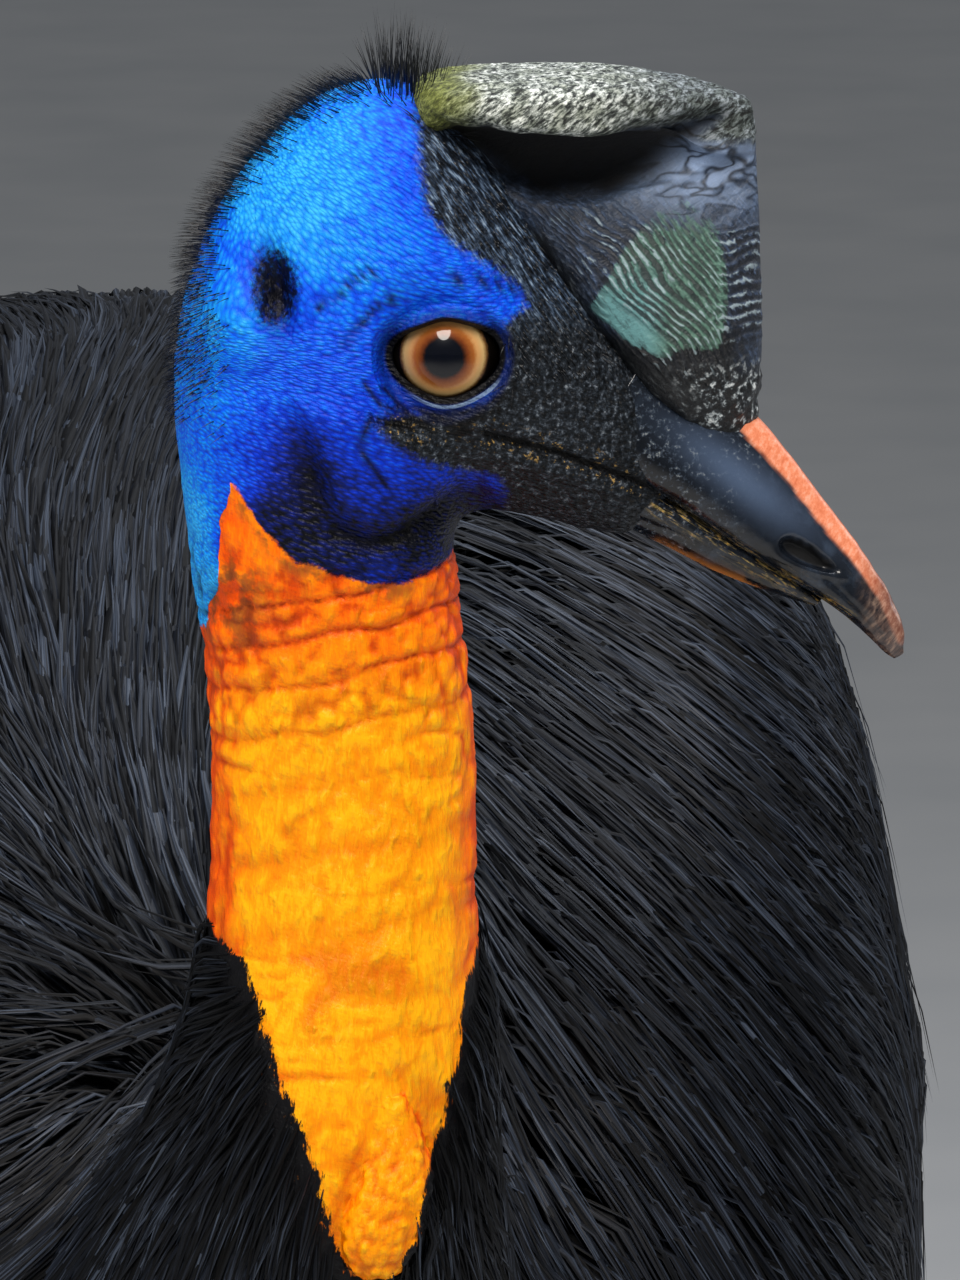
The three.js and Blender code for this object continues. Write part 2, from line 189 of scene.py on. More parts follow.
def rows_at(rows, t):
    """The rows read at fractional places t, along a smooth curve through them."""
    rows = np.asarray(rows, float)
    i = np.clip(np.floor(t).astype(int), 0, len(rows) - 2)
    f = (np.asarray(t) - i)[:, None]
    before = rows[np.clip(i - 1, 0, None)]
    a, b = rows[i], rows[i + 1]
    after = rows[np.clip(i + 2, None, len(rows) - 1)]
    slope_a, slope_b = (b - before) / 2, (after - a) / 2
    cubic = 2 * a - 2 * b + slope_a + slope_b
    square = 3 * b - 3 * a - 2 * slope_a - slope_b
    return ((cubic * f + square) * f + slope_a) * f + a


def unit(v):
    v = np.asarray(v, float)
    return v / np.maximum(np.linalg.norm(v, axis=-1, keepdims=True), 1e-9)


print("noise between the eyes", layered([HEAD_AT], 10).round(3))


# %% Stations and rings
def station(middle, back, side, high, wide, square=2.0, egg=0.0):
    """A cross-section: where it is, the way its back points, and its half height and width."""
    return [*middle, *back, *side, high, wide, square, egg]


def rings(stations, along, around, grow=0.0):
    """Points of the loft at each place along and each angle around, as (along, around, 3)."""
    row = rows_at(stations, along)
    middle, back, side = row[:, None, 0:3], unit(row[:, 3:6])[:, None], unit(row[:, 6:9])[:, None]
    high, wide = row[:, 9, None] + grow, row[:, 10, None] + grow
    power, egg = 2 / row[:, 11, None], row[:, 12, None]
    cos, sin = np.cos(around)[None], np.sin(around)[None]
    up = np.sign(cos) * np.abs(cos) ** power
    across = np.sign(sin) * np.abs(sin) ** power * (1 - egg * up)
    return middle + back * (high * up)[..., None] + side * (wide * across)[..., None]


print("a station is", len(station([0] * 3, [0] * 3, [0] * 3, 1, 1)), "numbers")


# %% Meshes from rings
def make_mesh(name, points, faces, smooth=True):
    """A mesh object from points in millimetres."""
    mesh = bpy.data.meshes.new(name)
    mesh.from_pydata((np.asarray(points) * MM).tolist(), [], faces)
    mesh.update()
    if smooth:
        mesh.shade_smooth()
    obj = bpy.data.objects.new(name, mesh)
    bpy.context.scene.collection.objects.link(obj)
    return obj


def tube_faces(count, sides, first=0):
    """Quads between neighbouring rings, then a fan to a pole at each end."""
    i, j = np.meshgrid(np.arange(count - 1), np.arange(sides), indexing="ij")
    k = (j + 1) % sides
    quads = np.stack([i * sides + j, i * sides + k, (i + 1) * sides + k, (i + 1) * sides + j], -1)
    faces = (quads.reshape(-1, 4) + first).tolist()
    start, end = first + count * sides, first + count * sides + 1
    last = first + (count - 1) * sides
    for j in range(sides):
        k = (j + 1) % sides
        faces.append([start, first + k, first + j])
        faces.append([end, last + j, last + k])
    return faces


def close_tube(grid):
    """The grid's points in a row, with the two poles at the end."""
    return np.vstack([grid.reshape(-1, 3), grid[0].mean(0), grid[-1].mean(0)])


def edit_mesh(obj, change):
    """Opens the object's mesh for editing and runs a change on it."""
    work = bmesh.new()
    work.from_mesh(obj.data)
    change(work)
    work.to_mesh(obj.data)
    work.free()
    return obj


def point_outwards(obj):
    """Turns every face outwards."""
    return edit_mesh(obj, lambda work: bmesh.ops.recalc_face_normals(work, faces=work.faces))


def loft_grid(stations, count, sides):
    """Points of a loft with so many even rings and so many points round each."""
    around = np.linspace(0, 2 * np.pi, sides, endpoint=False)
    return rings(stations, np.linspace(0, len(stations) - 1, count), around)


def loft_piece(name, stations, count, sides, shape=None):
    """A closed loft as an object; shape may move its grid of points first."""
    grid = loft_grid(stations, count, sides)
    if shape:
        grid = shape(grid)
    return point_outwards(make_mesh(name, close_tube(grid), tube_faces(count, sides)))


print("a loft of 3 rings of 4 points has", len(tube_faces(3, 4)), "faces")


# %% Points, normals and stored values
def points_of(obj):
    co = np.empty(len(obj.data.vertices) * 3, np.float32)
    obj.data.vertices.foreach_get("co", co)
    return co.reshape(-1, 3).astype(float) / MM


def normals_of(obj):
    n = np.empty(len(obj.data.vertices) * 3, np.float32)
    obj.data.vertex_normals.foreach_get("vector", n)
    return n.reshape(-1, 3).astype(float)


def move_points(obj, points):
    obj.data.vertices.foreach_set("co", (np.asarray(points) * MM).astype(np.float32).ravel())
    obj.data.update()


def push_out(obj, rise):
    """Moves each point along its normal, by a distance of its own."""
    move_points(obj, points_of(obj) + normals_of(obj) * rise[:, None])


def write_values(obj, named):
    """Stores one number for each point under each name, for a material to read."""
    for name, values in named.items():
        layer = obj.data.attributes.new(name, "FLOAT", "POINT")
        layer.data.foreach_set("value", np.asarray(values, np.float32))


def triangles(*pieces):
    return sum(len(p.vertices) - 2 for piece in pieces for p in piece.data.polygons)


print("an eye's solid has", triangles(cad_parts["eye_right"]), "triangles")


# %% Lines and spots drawn on the side of the head
def line_distance(x, z, line):
    """Distance to a line of (x, z) points."""
    line = np.asarray(line, float)
    best = np.full(len(x), 1e9)
    for (ax, az), (bx, bz) in zip(line[:-1], line[1:]):
        dx, dz = bx - ax, bz - az
        t = np.clip(((x - ax) * dx + (z - az) * dz) / (dx * dx + dz * dz), 0, 1)
        best = np.minimum(best, np.hypot(x - ax - t * dx, z - az - t * dz))
    return best


def outline_depth(x, z, outline):
    """How far inside a closed outline a point is; negative outside it."""
    outline = np.asarray(outline, float)
    inside = np.zeros(len(x), bool)
    for (ax, az), (bx, bz) in zip(outline, np.roll(outline, -1, axis=0)):
        crosses = (az > z) != (bz > z)
        at = ax + (z - az) / (bz - az if bz != az else 1e-9) * (bx - ax)
        inside ^= crosses & (x < at)
    closed = np.vstack([outline, outline[:1]])
    distance = line_distance(x, z, closed)
    return np.where(inside, distance, -distance)


def line_side(x, z, line):
    """Distance to a line, above and ahead of it positive, below and behind it negative."""
    line = np.asarray(line, float)
    at = np.interp(x, line[:, 0], line[:, 1])
    return np.where(z > at, 1, -1) * line_distance(x, z, line)


def from_spot(x, z, spot, degrees):
    """Distances from a spot, along and across an axis that is tilted by so many degrees."""
    c, s = math.cos(math.radians(degrees)), math.sin(math.radians(degrees))
    ahead_of, above = x - spot[0], z - spot[1]
    return ahead_of * c + above * s, above * c - ahead_of * s


print("3 mm above a line:", line_side(np.zeros(1), np.full(1, 3.0), [(-1, 0), (1, 0)]))

# %% [markdown]
# ## The skin's form
# Bare skin shows on the head and neck, and everywhere else it lies under the plumage. One closed
# loft runs from the face over the crown, down the neck and back through the trunk, so that no seam
# can show. Its rings fan out round the throat on the head, where most of the detail is, and are
# far apart on the trunk, where feathers cover it.

# %% Stations of the head, neck and trunk
EYES_FROM_HIPS = np.array([52, -425, 1100])
HIPS = HEAD_AT - EYES_FROM_HIPS

HEAD_ROWS = [
    # crown x, z, jaw x, z, half width, square, egg
    [66, -27, 54, -41, 7.5, 2.2, 0.1],
    [57, -17.5, 45, -47, 12.6, 2.2, 0.1],
    [48, -3.5, 36, -46.5, 17.6, 2.1, 0.1],
    [34, 14, 26, -44, 22, 2, 0.1],
    [20, 32, 16, -42, 26, 2, 0.08],
    [6, 49, 9, -41.5, 29, 2.05, 0.05],
    [-9.6, 61.5, 4, -44, 31, 2.1, 0.02],
    [-29, 59, 2, -48, 32.5, 2.1, 0],
    [-47, 42.5, 1.5, -51, 32.5, 2.1, 0],
    [-59, 21, 2, -55, 31.5, 2.1, 0],
    [-64.8, -4, 2.4, -59, 30, 2.1, 0],
    [-63, -38, 2.8, -66, 28, 2.1, 0],
    [-58.4, -71, 4.5, -80, 26.5, 2.1, 0],
    [-56.4, -98, 7, -102, 27, 2.1, 0],
]
BODY_ROWS = [
    # x, y, z from the hips, half depth, half width, degrees the back points from +X, lean, square
    [27, -424, 962, 32.5, 29.5, 154, 0, 2.1],
    [26, -425, 925, 35, 34.5, 126, 8, 2.1],
    [20, -418, 888, 42, 43, 105, 20, 2.1],
    [12, -396, 848, 56, 60, 94, 38, 2.1],
    [4, -350, 805, 86, 94, 90, 56, 2.2],
    [0, -285, 765, 158, 140, 90, 72, 2.4],
    [0, -200, 748, 190, 164, 90, 82, 3],
    [0, -110, 748, 212, 170, 90, 88, 3.4],
    [0, 70, 750, 238, 172, 90, 90, 3.6],
    [0, 200, 740, 238, 168, 90, 90, 3.2],
    [0, 320, 714, 220, 150, 90, 90, 2.8],
    [0, 420, 672, 178, 116, 90, 90, 2.4],
    [0, 485, 632, 116, 74, 90, 90, 2.2],
    [0, 512, 622, 40, 26, 90, 90, 2],
]
SKIN_STEPS = [8, 14, 16, 14, 12, 12, 15, 18, 19, 20, 26, 25, 21, 31, 28, 26]
SKIN_STEPS += [18, 12, 10, 7, 6, 7, 6, 6, 6, 5, 4]
SKIN_SIDES = 160
SKIN_GROWS = 0.7  # the solid's own loft is grown by 1


def head_stations(rows):
    stations = []
    for cx, cz, jx, jz, wide, square, egg in rows:
        crown, jaw = from_head([[cx, 0, cz], [jx, 0, jz]])
        high = np.linalg.norm(crown - jaw) / 2
        middle = (crown + jaw) / 2
        stations.append(station(middle, unit(crown - jaw), HEAD_Y, high, wide, square, egg))
    return stations


def body_stations(rows):
    stations = []
    for x, y, z, deep, wide, degrees, lean, square in rows:
        turn, tilt = math.radians(degrees), math.radians(lean)
        level = np.array([math.cos(turn), math.sin(turn), 0])
        back = level * math.cos(tilt) + HEAD_Z * math.sin(tilt)
        side = [level[1], -level[0], 0]
        stations.append(station(HIPS + [x, y, z], back, side, deep, wide, square))
    return stations


def steps_along(steps):
    """Places along the stations, with so many steps in each span."""
    places = [i + np.arange(count) / count for i, count in enumerate(steps)]
    return np.append(np.concatenate(places), len(steps))


skin_stations = head_stations(HEAD_ROWS) + body_stations(BODY_ROWS)
skin_along = steps_along(SKIN_STEPS)
skin_around = np.linspace(0, 2 * np.pi, SKIN_SIDES, endpoint=False)
skin_grid = rings(skin_stations, skin_along, skin_around, SKIN_GROWS)
print("skin grid", skin_grid.shape[:2], "of", len(skin_stations), "stations")

# %% [markdown]
# ## The lids
# A grid of squares can't follow a round lid. So the block of squares round each eye is pulled into
# rings: the outermost ring stays a square and joins its neighbours, and the rings inside it grow
# round, roll over the lid's edge and go on behind the eyeball as a closed socket.

# %% Rings round each eye
LID_BLOCK = 26  # half the block's width, in squares
LID_RINGS = [
    # radius round the eye, distance from the middle of the head
    [0, 1.2], [6, 2.2], [10.5, 6], [13.2, 11], [14.4, 16.5], [13.9, 20.5], [12.7, 23],
    [11.9, 24.4], [11.3, 25.3], [11.25, 26], [11.7, 26.5], [12.4, 26.6], [13.1, 26.4],
    [13.7, 26.2], [14.4, 26.7], [15.2, 27.5], [16.1, 28.3], [17, 29],
]


def lid_shape(turn):
    """The almond outline of the open lids: 1 would be a circle, turn is the angle from ahead."""
    almond = 0.945 + 0.05 * np.cos(turn) - 0.075 * np.sin(turn)
    return almond + 0.155 * np.cos(2 * turn) + 0.045 * np.cos(4 * turn)


def eye_bulge(radius):
    return np.sqrt(np.maximum(EYE_RADIUS**2 - radius**2, 0))


def square_ring(k):
    """Steps (i, j) round a square of half width k, starting at a corner."""
    run = np.arange(-k, k)
    top = [(-k, j) for j in run]
    down = [(i, k) for i in run]
    bottom = [(k, -j) for j in run]
    back = [(-i, -k) for i in run]
    return top + down + bottom + back


def surface_seeker(grid):
    """Finds how far out the head's surface is at (x, z), on either side."""
    count, sides = grid.shape[:2]
    tree = BVHTree.FromPolygons(to_head(grid).reshape(-1, 3).tolist(), tube_quads(count, sides))

    def seek(x, z, sign):
        hit = tree.ray_cast(Vector((x, sign * 90, z)), Vector((0, -sign, 0)))[0]
        return abs(hit.y) if hit else 28.0

    return seek


def tube_quads(count, sides):
    return [f for f in tube_faces(count, sides) if len(f) == 4]


def ring_the_eye(grid, sign, seek):
    local = to_head(grid)
    away = np.hypot(local[..., 0], local[..., 2]) + 1e3 * (local[..., 1] * sign < 0)
    away[sum(SKIN_STEPS[:11]) :] = 1e3
    ci, cj = np.unravel_index(np.argmin(away), away.shape)
    edge = np.array([local[ci + i, (cj + j) % SKIN_SIDES] for i, j in square_ring(LID_BLOCK)])
    angle = np.unwrap(np.arctan2(edge[:, 2], edge[:, 0]))
    turn = np.sign(angle[-1] - angle[0]) * 2 * np.pi
    angle = np.append(angle, angle[0] + turn)
    reach = np.hypot(edge[:, 0], edge[:, 2])
    reach = np.append(reach, reach[0])
    share = np.linspace(0, 1, len(angle))
    last = len(LID_RINGS) - 1
    for k in range(LID_BLOCK):
        steps = square_ring(k) if k else [(0, 0)]
        for m, (i, j) in enumerate(steps):
            f = m / len(steps)
            outer = max(0.0, (k - last) / (LID_BLOCK - last))
            even = angle[0] + turn * f
            psi = even + (np.interp(f, share, angle) - even) * ease(4, LID_BLOCK, k)
            radius, out = LID_RINGS[min(k, last)]
            shape = 1 + (lid_shape(psi) - 1) * ease(4, 7, k) * (1 - 0.72 * ease(12, last, k))
            bulge = eye_bulge(radius * shape) - eye_bulge(radius)
            out += max(bulge, -1.6) * ease(5, 7, k) * ease(15, 12, k)
            radius = radius * shape
            radius += (np.interp(f, share, reach) - radius) * outer
            x, z = radius * math.cos(psi), radius * math.sin(psi)
            if k >= last - 3:
                rise = ease(last - 4, last + 3, k)
                out += (seek(x, z, sign) - out) * rise
            grid[ci + i, (cj + j) % SKIN_SIDES] = from_head([x, sign * out, z])


seek_head = surface_seeker(skin_grid[: sum(SKIN_STEPS[:13])])
for _, sign in SIDES:
    ring_the_eye(skin_grid, sign, seek_head)
print("lids shaped with", LID_BLOCK, "rings each")

# %% [markdown]
# ## Folds, lobes and wrinkles
# The head is modelled on what the photograph shows: a long mouth line, folds under the eye, a
# round jowl over a dark hollow, the ear's opening with its soft swelling, and the tight folds
# where the blue skin turns to orange. Each is a line or a spot on the side of the head, which
# pushes the skin in or out along its normal.

# %% Features on the side of the head
FOLDS = [
    # depth, half width, then x, z points
    (1.7, 0.9, [(-18, -14), (-5.5, -17.4), (11, -19.6), (27, -24.5), (44, -31.5), (63, -41)]),
    (-0.7, 1.5, [(-15, -11.6), (-4, -14.8), (12, -17), (28, -21.5), (44, -28)]),
    (-0.8, 1.8, [(-12, -19.5), (0, -22.6), (16, -26), (32, -31), (46, -37.5)]),
    (0.8, 0.8, [(-14.5, -7.5), (-10, -12), (-2, -14.2), (7, -13.5), (14.5, -9.5)]),
    (0.5, 0.7, [(-19, -6), (-15, -11.5), (-6, -13)]),
    (0.6, 0.9, [(-24, 3), (-17, 12), (-7, 17.5), (6, 19), (17, 15.5)]),
    (0.5, 0.8, [(-30, 12), (-20, 20), (-6, 25)]),
    (0.35, 1.0, [(-18, -14), (-20, -22), (-14, -31)]),
    (1.8, 2.4, [(-26, -43), (-19, -46), (-12, -45), (-5, -40.5), (2, -37), (8, -35.5)]),
    (0.5, 0.8, [(-15, -11), (-6, -15.5), (4, -16), (13, -13)]),
]
JOWL = [(-36, -10), (-30, -28), (-26, -38), (-17, -44.5), (-6, -40), (2, -31), (-2, -22), (-14, -13)]
SPOTS = [
    # x, z, half width, half height, tilt in degrees, rise
    (-32.5, -30, 5, 13, 8, -2.4),  # the dark hollow behind the jowl
    (-45, -6, 8, 4, 20, -1.0),  # the dip under the ear
    (-50, 8.5, 8, 11, 6, 3.4),  # the swelling behind the ear
    (-41, 15, 3.9, 9.5, 8, -5.5),  # the ear's opening
    (-24, -12, 9, 9, 0, 0.9),  # the cheek
    (0, 18.5, 14, 3.2, -2, 1.3),  # the brow
    (-9, -49, 9, 5, -15, 1.2),  # the throat's lobe
]
NECK_FOLDS = [
    # height below the eye, depth, half width
    (-54.7, 1.2, 0.8),
    (-63.7, 1.3, 0.8),
    (-73.9, 1.0, 0.9),
    (-87, 0.8, 0.9),
    (-101, 0.4, 2.4),
    (-118, 0.45, 3.5),
    (-137, 0.4, 4),
]
FOLDS_RISE = 0.18  # how much the neck's folds climb towards the throat
print(len(FOLDS), "folds and", len(SPOTS), "spots on the head,", len(NECK_FOLDS), "folds on the neck")


# %% Skin of the head, neck and trunk
def neck_height(local):
    """Height along the neck's folds, which wander a little."""
    wander = 1.6 * noise(local, 13, 5) + 0.7 * noise(local, 5, 6)
    return local[:, 2] - FOLDS_RISE * local[:, 0] + wander


def orange_edge(local):
    """Distance below the border of blue and orange skin, negative above it."""
    line = [(-75, -74), (-58, -70), (-54.5, -52), (-52, -31), (-49.5, -34), (-43, -44), (-37, -49.5)]
    line += [(-26, -53.6), (-10.6, -56.7), (2.6, -51.8), (18, -50), (30, -62), (57, -80)]
    across = local[:, 0] + 1.3 * noise(local, 5, 9) + 0.6 * noise(local, 2.2, 10)
    border = np.interp(across, [p[0] for p in line], [p[1] for p in line])
    return border - local[:, 2] + 0.8 * noise(local, 3, 8)


def sculpt(local):
    """How far each point of the skin moves out, and how much shade is painted into its crease."""
    x, y, z = local.T
    flank = ease(6, 20, np.abs(y)) * ease(-75, -55, z)
    rise = np.zeros(len(local))
    crease_shade = np.zeros(len(local))
    for depth, width, line in FOLDS:
        near = bump(line_distance(x, z, line), width) * flank
        rise -= depth * near
        crease_shade = np.maximum(crease_shade, near * (depth > 0))
    rise += 1.8 * ease(-2.5, 3.5, outline_depth(x, z, JOWL)) * flank
    for sx, sz, wide, high, tilt, lift in SPOTS:
        u, v = from_spot(x, z, (sx, sz), tilt)
        near = bump(np.hypot(u / wide, v / high), 1) * flank
        rise += lift * near
        # Deep dips, the ear's opening and the hollow behind the jowl, get painted shade as well
        crease_shade = np.maximum(crease_shade, near * (lift < -2))
    neck = ease(-44, -56, z)
    height = neck_height(local)
    for at, depth, width in NECK_FOLDS:
        near = np.exp(-np.abs(height - at) / width) * neck
        rise -= depth * near
        crease_shade = np.maximum(crease_shade, near * min(depth, 1))
    tight = neck * ease(-100, -80, height)
    beads = cells(local * [1.1, 1.1, 0.8], 4.8, 3)
    rise += (0.95 - 1.6 * beads**1.5) * tight
    level = local * [0.4, 0.4, 1]
    for size, deep, seed in ((9, 0.6, 13), (5, 0.35, 14)):
        here_and_there = 0.45 + 0.55 * ease(-0.3, 0.3, noise(local, 14, seed + 3))
        near = bump(noise(level, size, seed), 0.13) * neck * here_and_there
        rise -= deep * near
        crease_shade = np.maximum(crease_shade, deep * near)
    rise += 0.5 * (0.5 - cells(local * [1.2, 1.2, 0.6], 7, 4)) * neck * (1 - tight)
    rise += 0.35 * layered(local, 7, 3, 11) * neck
    rise += 0.25 * layered(local, 4, 2, 21) * (1 - neck) * ease(17, 24, np.hypot(x, z))
    crease_shade = np.maximum(crease_shade, ease(0.45, 0.9, beads) * 0.85 * tight)
    return rise, crease_shade


skin = make_mesh("skin", close_tube(skin_grid), tube_faces(*skin_grid.shape[:2]))
point_outwards(skin)
local = to_head(points_of(skin))
lids = ease(18.5, 22, np.hypot(local[:, 0], local[:, 2])) + (np.abs(local[:, 1]) < 8)
fade = ease(-250, -150, local[:, 2]) * np.clip(lids, 0, 1)
push_out(skin, sculpt(local)[0] * fade)
print("skin of the body", triangles(skin), "triangles")

# %% [markdown]
# ## The casque
# The casque is a light core of bone and foam under a sheath of horn. It is a thin blade that
# flares at the top to a broad plate with a rim, hollowed out beneath. Fine ridges cross its sides,
# fanning from the crown down to the bill, and short level ridges cross its front edge. They are
# real waves in the mesh, because they catch the light one by one.

# %% Rows and outlines of the casque
CASQUE_ROWS = [
    # z, rear x, front x, half width, square, egg
    [-24, 60, 75, 8, 2, 0.2],
    [-12, 47, 76.5, 15, 2.2, 0.25],
    [2, 36, 77, 18, 2.2, 0.25],
    [17, 24, 76.6, 16.4, 2.2, 0.3],
    [30, 13, 76.2, 13, 2.2, 0.3],
    [37.5, 6, 75.8, 10, 2.2, 0.35],
    [42.5, 1, 75.6, 9, 2.2, 0.4],
    [46.5, -4, 75.4, 12.5, 2.1, 0.4],
    [49.5, -7.5, 75.3, 20.5, 2.1, 0.5],
    [54.5, -8.5, 75.2, 22.6, 2.1, 0.55],
    [61, -8, 74.6, 21.6, 2.1, 0.55],
    [64, -4, 71, 17.5, 2.1, 0.55],
    [65.4, 4, 63, 11.5, 2, 0.5],
    [66, 16, 50, 5, 2, 0.4],
]
CASQUE_SPAN = 13  # rings between two rows
CASQUE_SIDES = 176
HORN_BORDER = [(-12, 66), (-3.4, 50), (12, 38), (25, 27), (34, 12), (42, 0), (52, -7), (64, -11)]
HOLLOW = [
    (-3, 51), (1, 45.5), (9, 42), (21, 38.5), (40, 38), (50, 41.5), (58, 46.5), (67, 54.5),
    (46, 52.5), (38, 49.5), (27, 49.5), (16, 52), (10, 54), (-1, 54),
]
SMOOTH_SPOT = [(37, 14), (39.5, 6), (46, 0), (52, -2), (55, 1), (50, 5.5), (44, 9.5), (40, 14)]
CORNER_FOLDS = [
    # raised folds that run up to the front corner, as x, z
    [(49, 41.5), (58, 48), (67, 53.5), (73, 56)],
    [(53, 37), (63, 43.5), (73.5, 49.5)],
    [(57, 33.5), (66, 38), (74, 43)],
]


def casque_stations(rows):
    return [
        station(from_head([(rear + front) / 2, 0, z]), HEAD_X, HEAD_Y, (front - rear) / 2, *rest)
        for z, rear, front, *rest in rows
    ]


print("the casque has", len(CASQUE_ROWS), "rows")


# %% Relief of the casque
def ridge_phases(local):
    """Two numbers that are the same all along a ridge: of the fan on the side, and of the front."""
    x, y, z = local.T
    at = np.linspace(-30, 100, 261)
    slope = 0.74 + 0.8 * ease(30, 72, at)
    fan = z + np.interp(x, at, np.cumsum(slope) * (at[1] - at[0]))
    front = z - 0.55 * (x - 74) * ease(24, 40, z)
    return fan + 2.4 * layered(local, 13, 2, 31), front + 1.4 * layered(local, 8, 2, 33)


def crests(phase, spacing, sharp=1.6):
    """Waves with narrow crests, from 0 to 1."""
    return (0.5 + 0.5 * np.cos(2 * np.pi * phase / spacing)) ** sharp


def casque_parts(local):
    """Where the side's fan of ridges, the front's ridges, the plate and the hollow are."""
    x, y, z = local.T
    horn = ease(-2, 4, line_side(x, z, HORN_BORDER))
    strong = bump(np.hypot((x - 50) / 21, (z - 13) / 22), 1)
    fan = ease(43, 30, z + 0.25 * np.abs(x - 32)) * horn * (0.7 + 0.3 * strong) * ease(72, 65, x)
    fan *= 1 - 0.9 * ease(-1, 1.5, outline_depth(x, z, SMOOTH_SPOT))
    front = ease(63, 68, x) * ease(-4, 4, z) * (1 - 0.8 * ease(24, 32, z)) * ease(53, 48, z)
    plate = ease(47.5, 51, z)
    shaded_hollow = ease(-4.5, 2.5, outline_depth(x, z, HOLLOW) + 1.2 * layered(local, 6, 2, 77))
    return fan, front, plate, shaded_hollow * ease(0.3, 3, np.abs(y))


def casque_relief(local):
    """How far the horn moves out at each point."""
    x, y, z = local.T
    fan, front, plate, shaded_hollow = casque_parts(local)
    fan_phase, front_phase = ridge_phases(local)
    broken = 0.25 + 0.75 * ease(0.35, 0.65, 0.5 + 0.5 * layered(local, 7, 2, 39))
    ridges = 0.42 * crests(fan_phase, 5.8, 1.2) * fan * broken
    ridges += 0.6 * crests(front_phase, 4.6, 1.2) * front * ease(48, 36, z)
    for line in CORNER_FOLDS:
        ridges += 1.0 * bump(line_distance(x, z, line), 2.3)
    flakes = 0.5 * layered(local * [0.6, 1, 1.6], 2.6, 3, 35)
    flakes = plate * (flakes - 0.3 * ease(0.5, 0.9, cells(local * [0.7, 1, 1.3], 2.4, 36)))
    knobs = ease(-2, -10, z) * ease(52, 62, x) * (1.0 - 1.5 * cells(local, 4, 37))
    return ridges * ease(0.3, 3, np.abs(y)) + flakes + knobs - 6.0 * shaded_hollow + 0.25 * layered(local, 5, 3, 38)


print("ridges rise to", crests(np.zeros(1), 1))


# %% Casque
def droop(local):
    """The top plate falls towards the front of the casque."""
    x, _, z = local.T
    return -np.stack([0 * x, 0 * x, 5.4 * (ease(34, 84, x)) ** 1.3 * ease(42, 54, z)], 1)


def casque_form(grid):
    local = to_head(grid.reshape(-1, 3))
    return from_head(local + droop(local)).reshape(grid.shape)


casque_count = CASQUE_SPAN * (len(CASQUE_ROWS) - 1) + 1
casque_line = casque_stations(CASQUE_ROWS)
casque = loft_piece("casque_horn", casque_line, casque_count, CASQUE_SIDES, casque_form)
casque_local = to_head(points_of(casque))
push_out(casque, casque_relief(casque_local))
print("casque", triangles(casque), "triangles")

# %% [markdown]
# ## The bill
# The bill is polished dark horn. Its upper half carries a blunt ridge with a stripe of coral
# horn, an oval nostril near the tip and a small hook, and the lower half is a slim trough that
# ends inside it. Both are lofts from the root to the tip, so the nostril is pressed into the mesh.

# %% Bill
UPPER_ROWS = [
    # top x, z, bottom x, z, half width, square, egg
    [52, 2, 34, -25, 15, 2.4, 0.3],
    [61, -8.5, 43, -33.5, 14.6, 2.4, 0.38],
    [75.4, -19, 56, -41, 13.2, 2.4, 0.46],
    [84.2, -29.3, 66.5, -48.4, 11.8, 2.4, 0.48],
    [92, -39.6, 76.5, -55, 10.2, 2.4, 0.46],
    [101.2, -52, 87.6, -61.6, 8.4, 2.4, 0.4],
    [108.7, -64, 97.8, -68.8, 6.3, 2.2, 0.3],
    [112.1, -72.5, 105.4, -76, 3.8, 2, 0.1],
    [111.8, -78, 109.6, -79.4, 1.1, 2, 0],
]
LOWER_ROWS = [
    [30, -24, 29, -40, 13, 2.4, -0.15],
    [43, -30.5, 42, -45.5, 12.4, 2.4, -0.2],
    [57, -38.6, 53, -50.8, 10.8, 2.4, -0.25],
    [69, -46.4, 64, -56.7, 9.2, 2.4, -0.25],
    [79, -53.3, 75, -61.2, 7.4, 2.3, -0.2],
    [86.5, -59.2, 83.5, -64.2, 5.4, 2.2, -0.1],
    [92, -64.4, 90, -66.3, 2.4, 2, 0],
]
NOSTRIL = (88.4, -52.2)
NOSTRIL_TILT = -30
NOSTRIL_HALF = (8.0, 2.5)
CULMEN_LINE = [(67, -11), (75.4, -18.5), (84.2, -28.8), (92, -39), (101.2, -51.5)]
CULMEN_LINE += [(108.7, -63.5), (112.6, -74)]


def nostril_reach(x, z):
    """0 at the middle of the nostril, 1 at its edge, and more beyond it."""
    u, v = from_spot(x, z, NOSTRIL, NOSTRIL_TILT)
    pointed = 1 + 0.35 * np.clip(u / NOSTRIL_HALF[0], -1, 1)
    return np.hypot(u / NOSTRIL_HALF[0], v * pointed / NOSTRIL_HALF[1])


def culmen_wide(x):
    """How far down each side the coral stripe of the ridge reaches."""
    return np.interp(x, [70, 92, 112], [4.8, 4.0, 2.2])


def upper_relief(local):
    x, y, z = local.T
    flank = ease(1, 4, np.abs(y))
    reach = nostril_reach(x, z)
    rise = -3.4 * ease(1.1, 0.72, reach) * flank
    rise += 0.5 * bump(reach - 1.3, 0.25) * flank * ease(-50, -53, z + 0.55 * (x - 88.4))
    from_ridge = line_distance(x, z, CULMEN_LINE)
    rise -= 0.55 * bump(from_ridge - culmen_wide(x) - 0.9, 0.9) * flank
    rise -= 0.4 * bump(line_distance(x, z, [(93, -58), (101, -66), (107, -74)]), 0.8) * flank
    rise += 0.12 * layered(local, 5, 3, 41)
    rise += 0.3 * layered(local, 3, 2, 42) * ease(94, 104, x)
    return rise


def lower_relief(local):
    x, y, z = local.T
    groove = line_distance(x, z, [(40, -40.5), (56, -47), (70, -54.5), (80, -60)])
    return -0.55 * bump(groove, 1.0) * ease(2, 5, np.abs(y)) + 0.12 * layered(local, 5, 3, 43)


def bill_half(name, rows, count, sides, relief):
    piece = loft_piece(name, head_stations(rows), count, sides)
    push_out(piece, relief(to_head(points_of(piece))))
    return piece


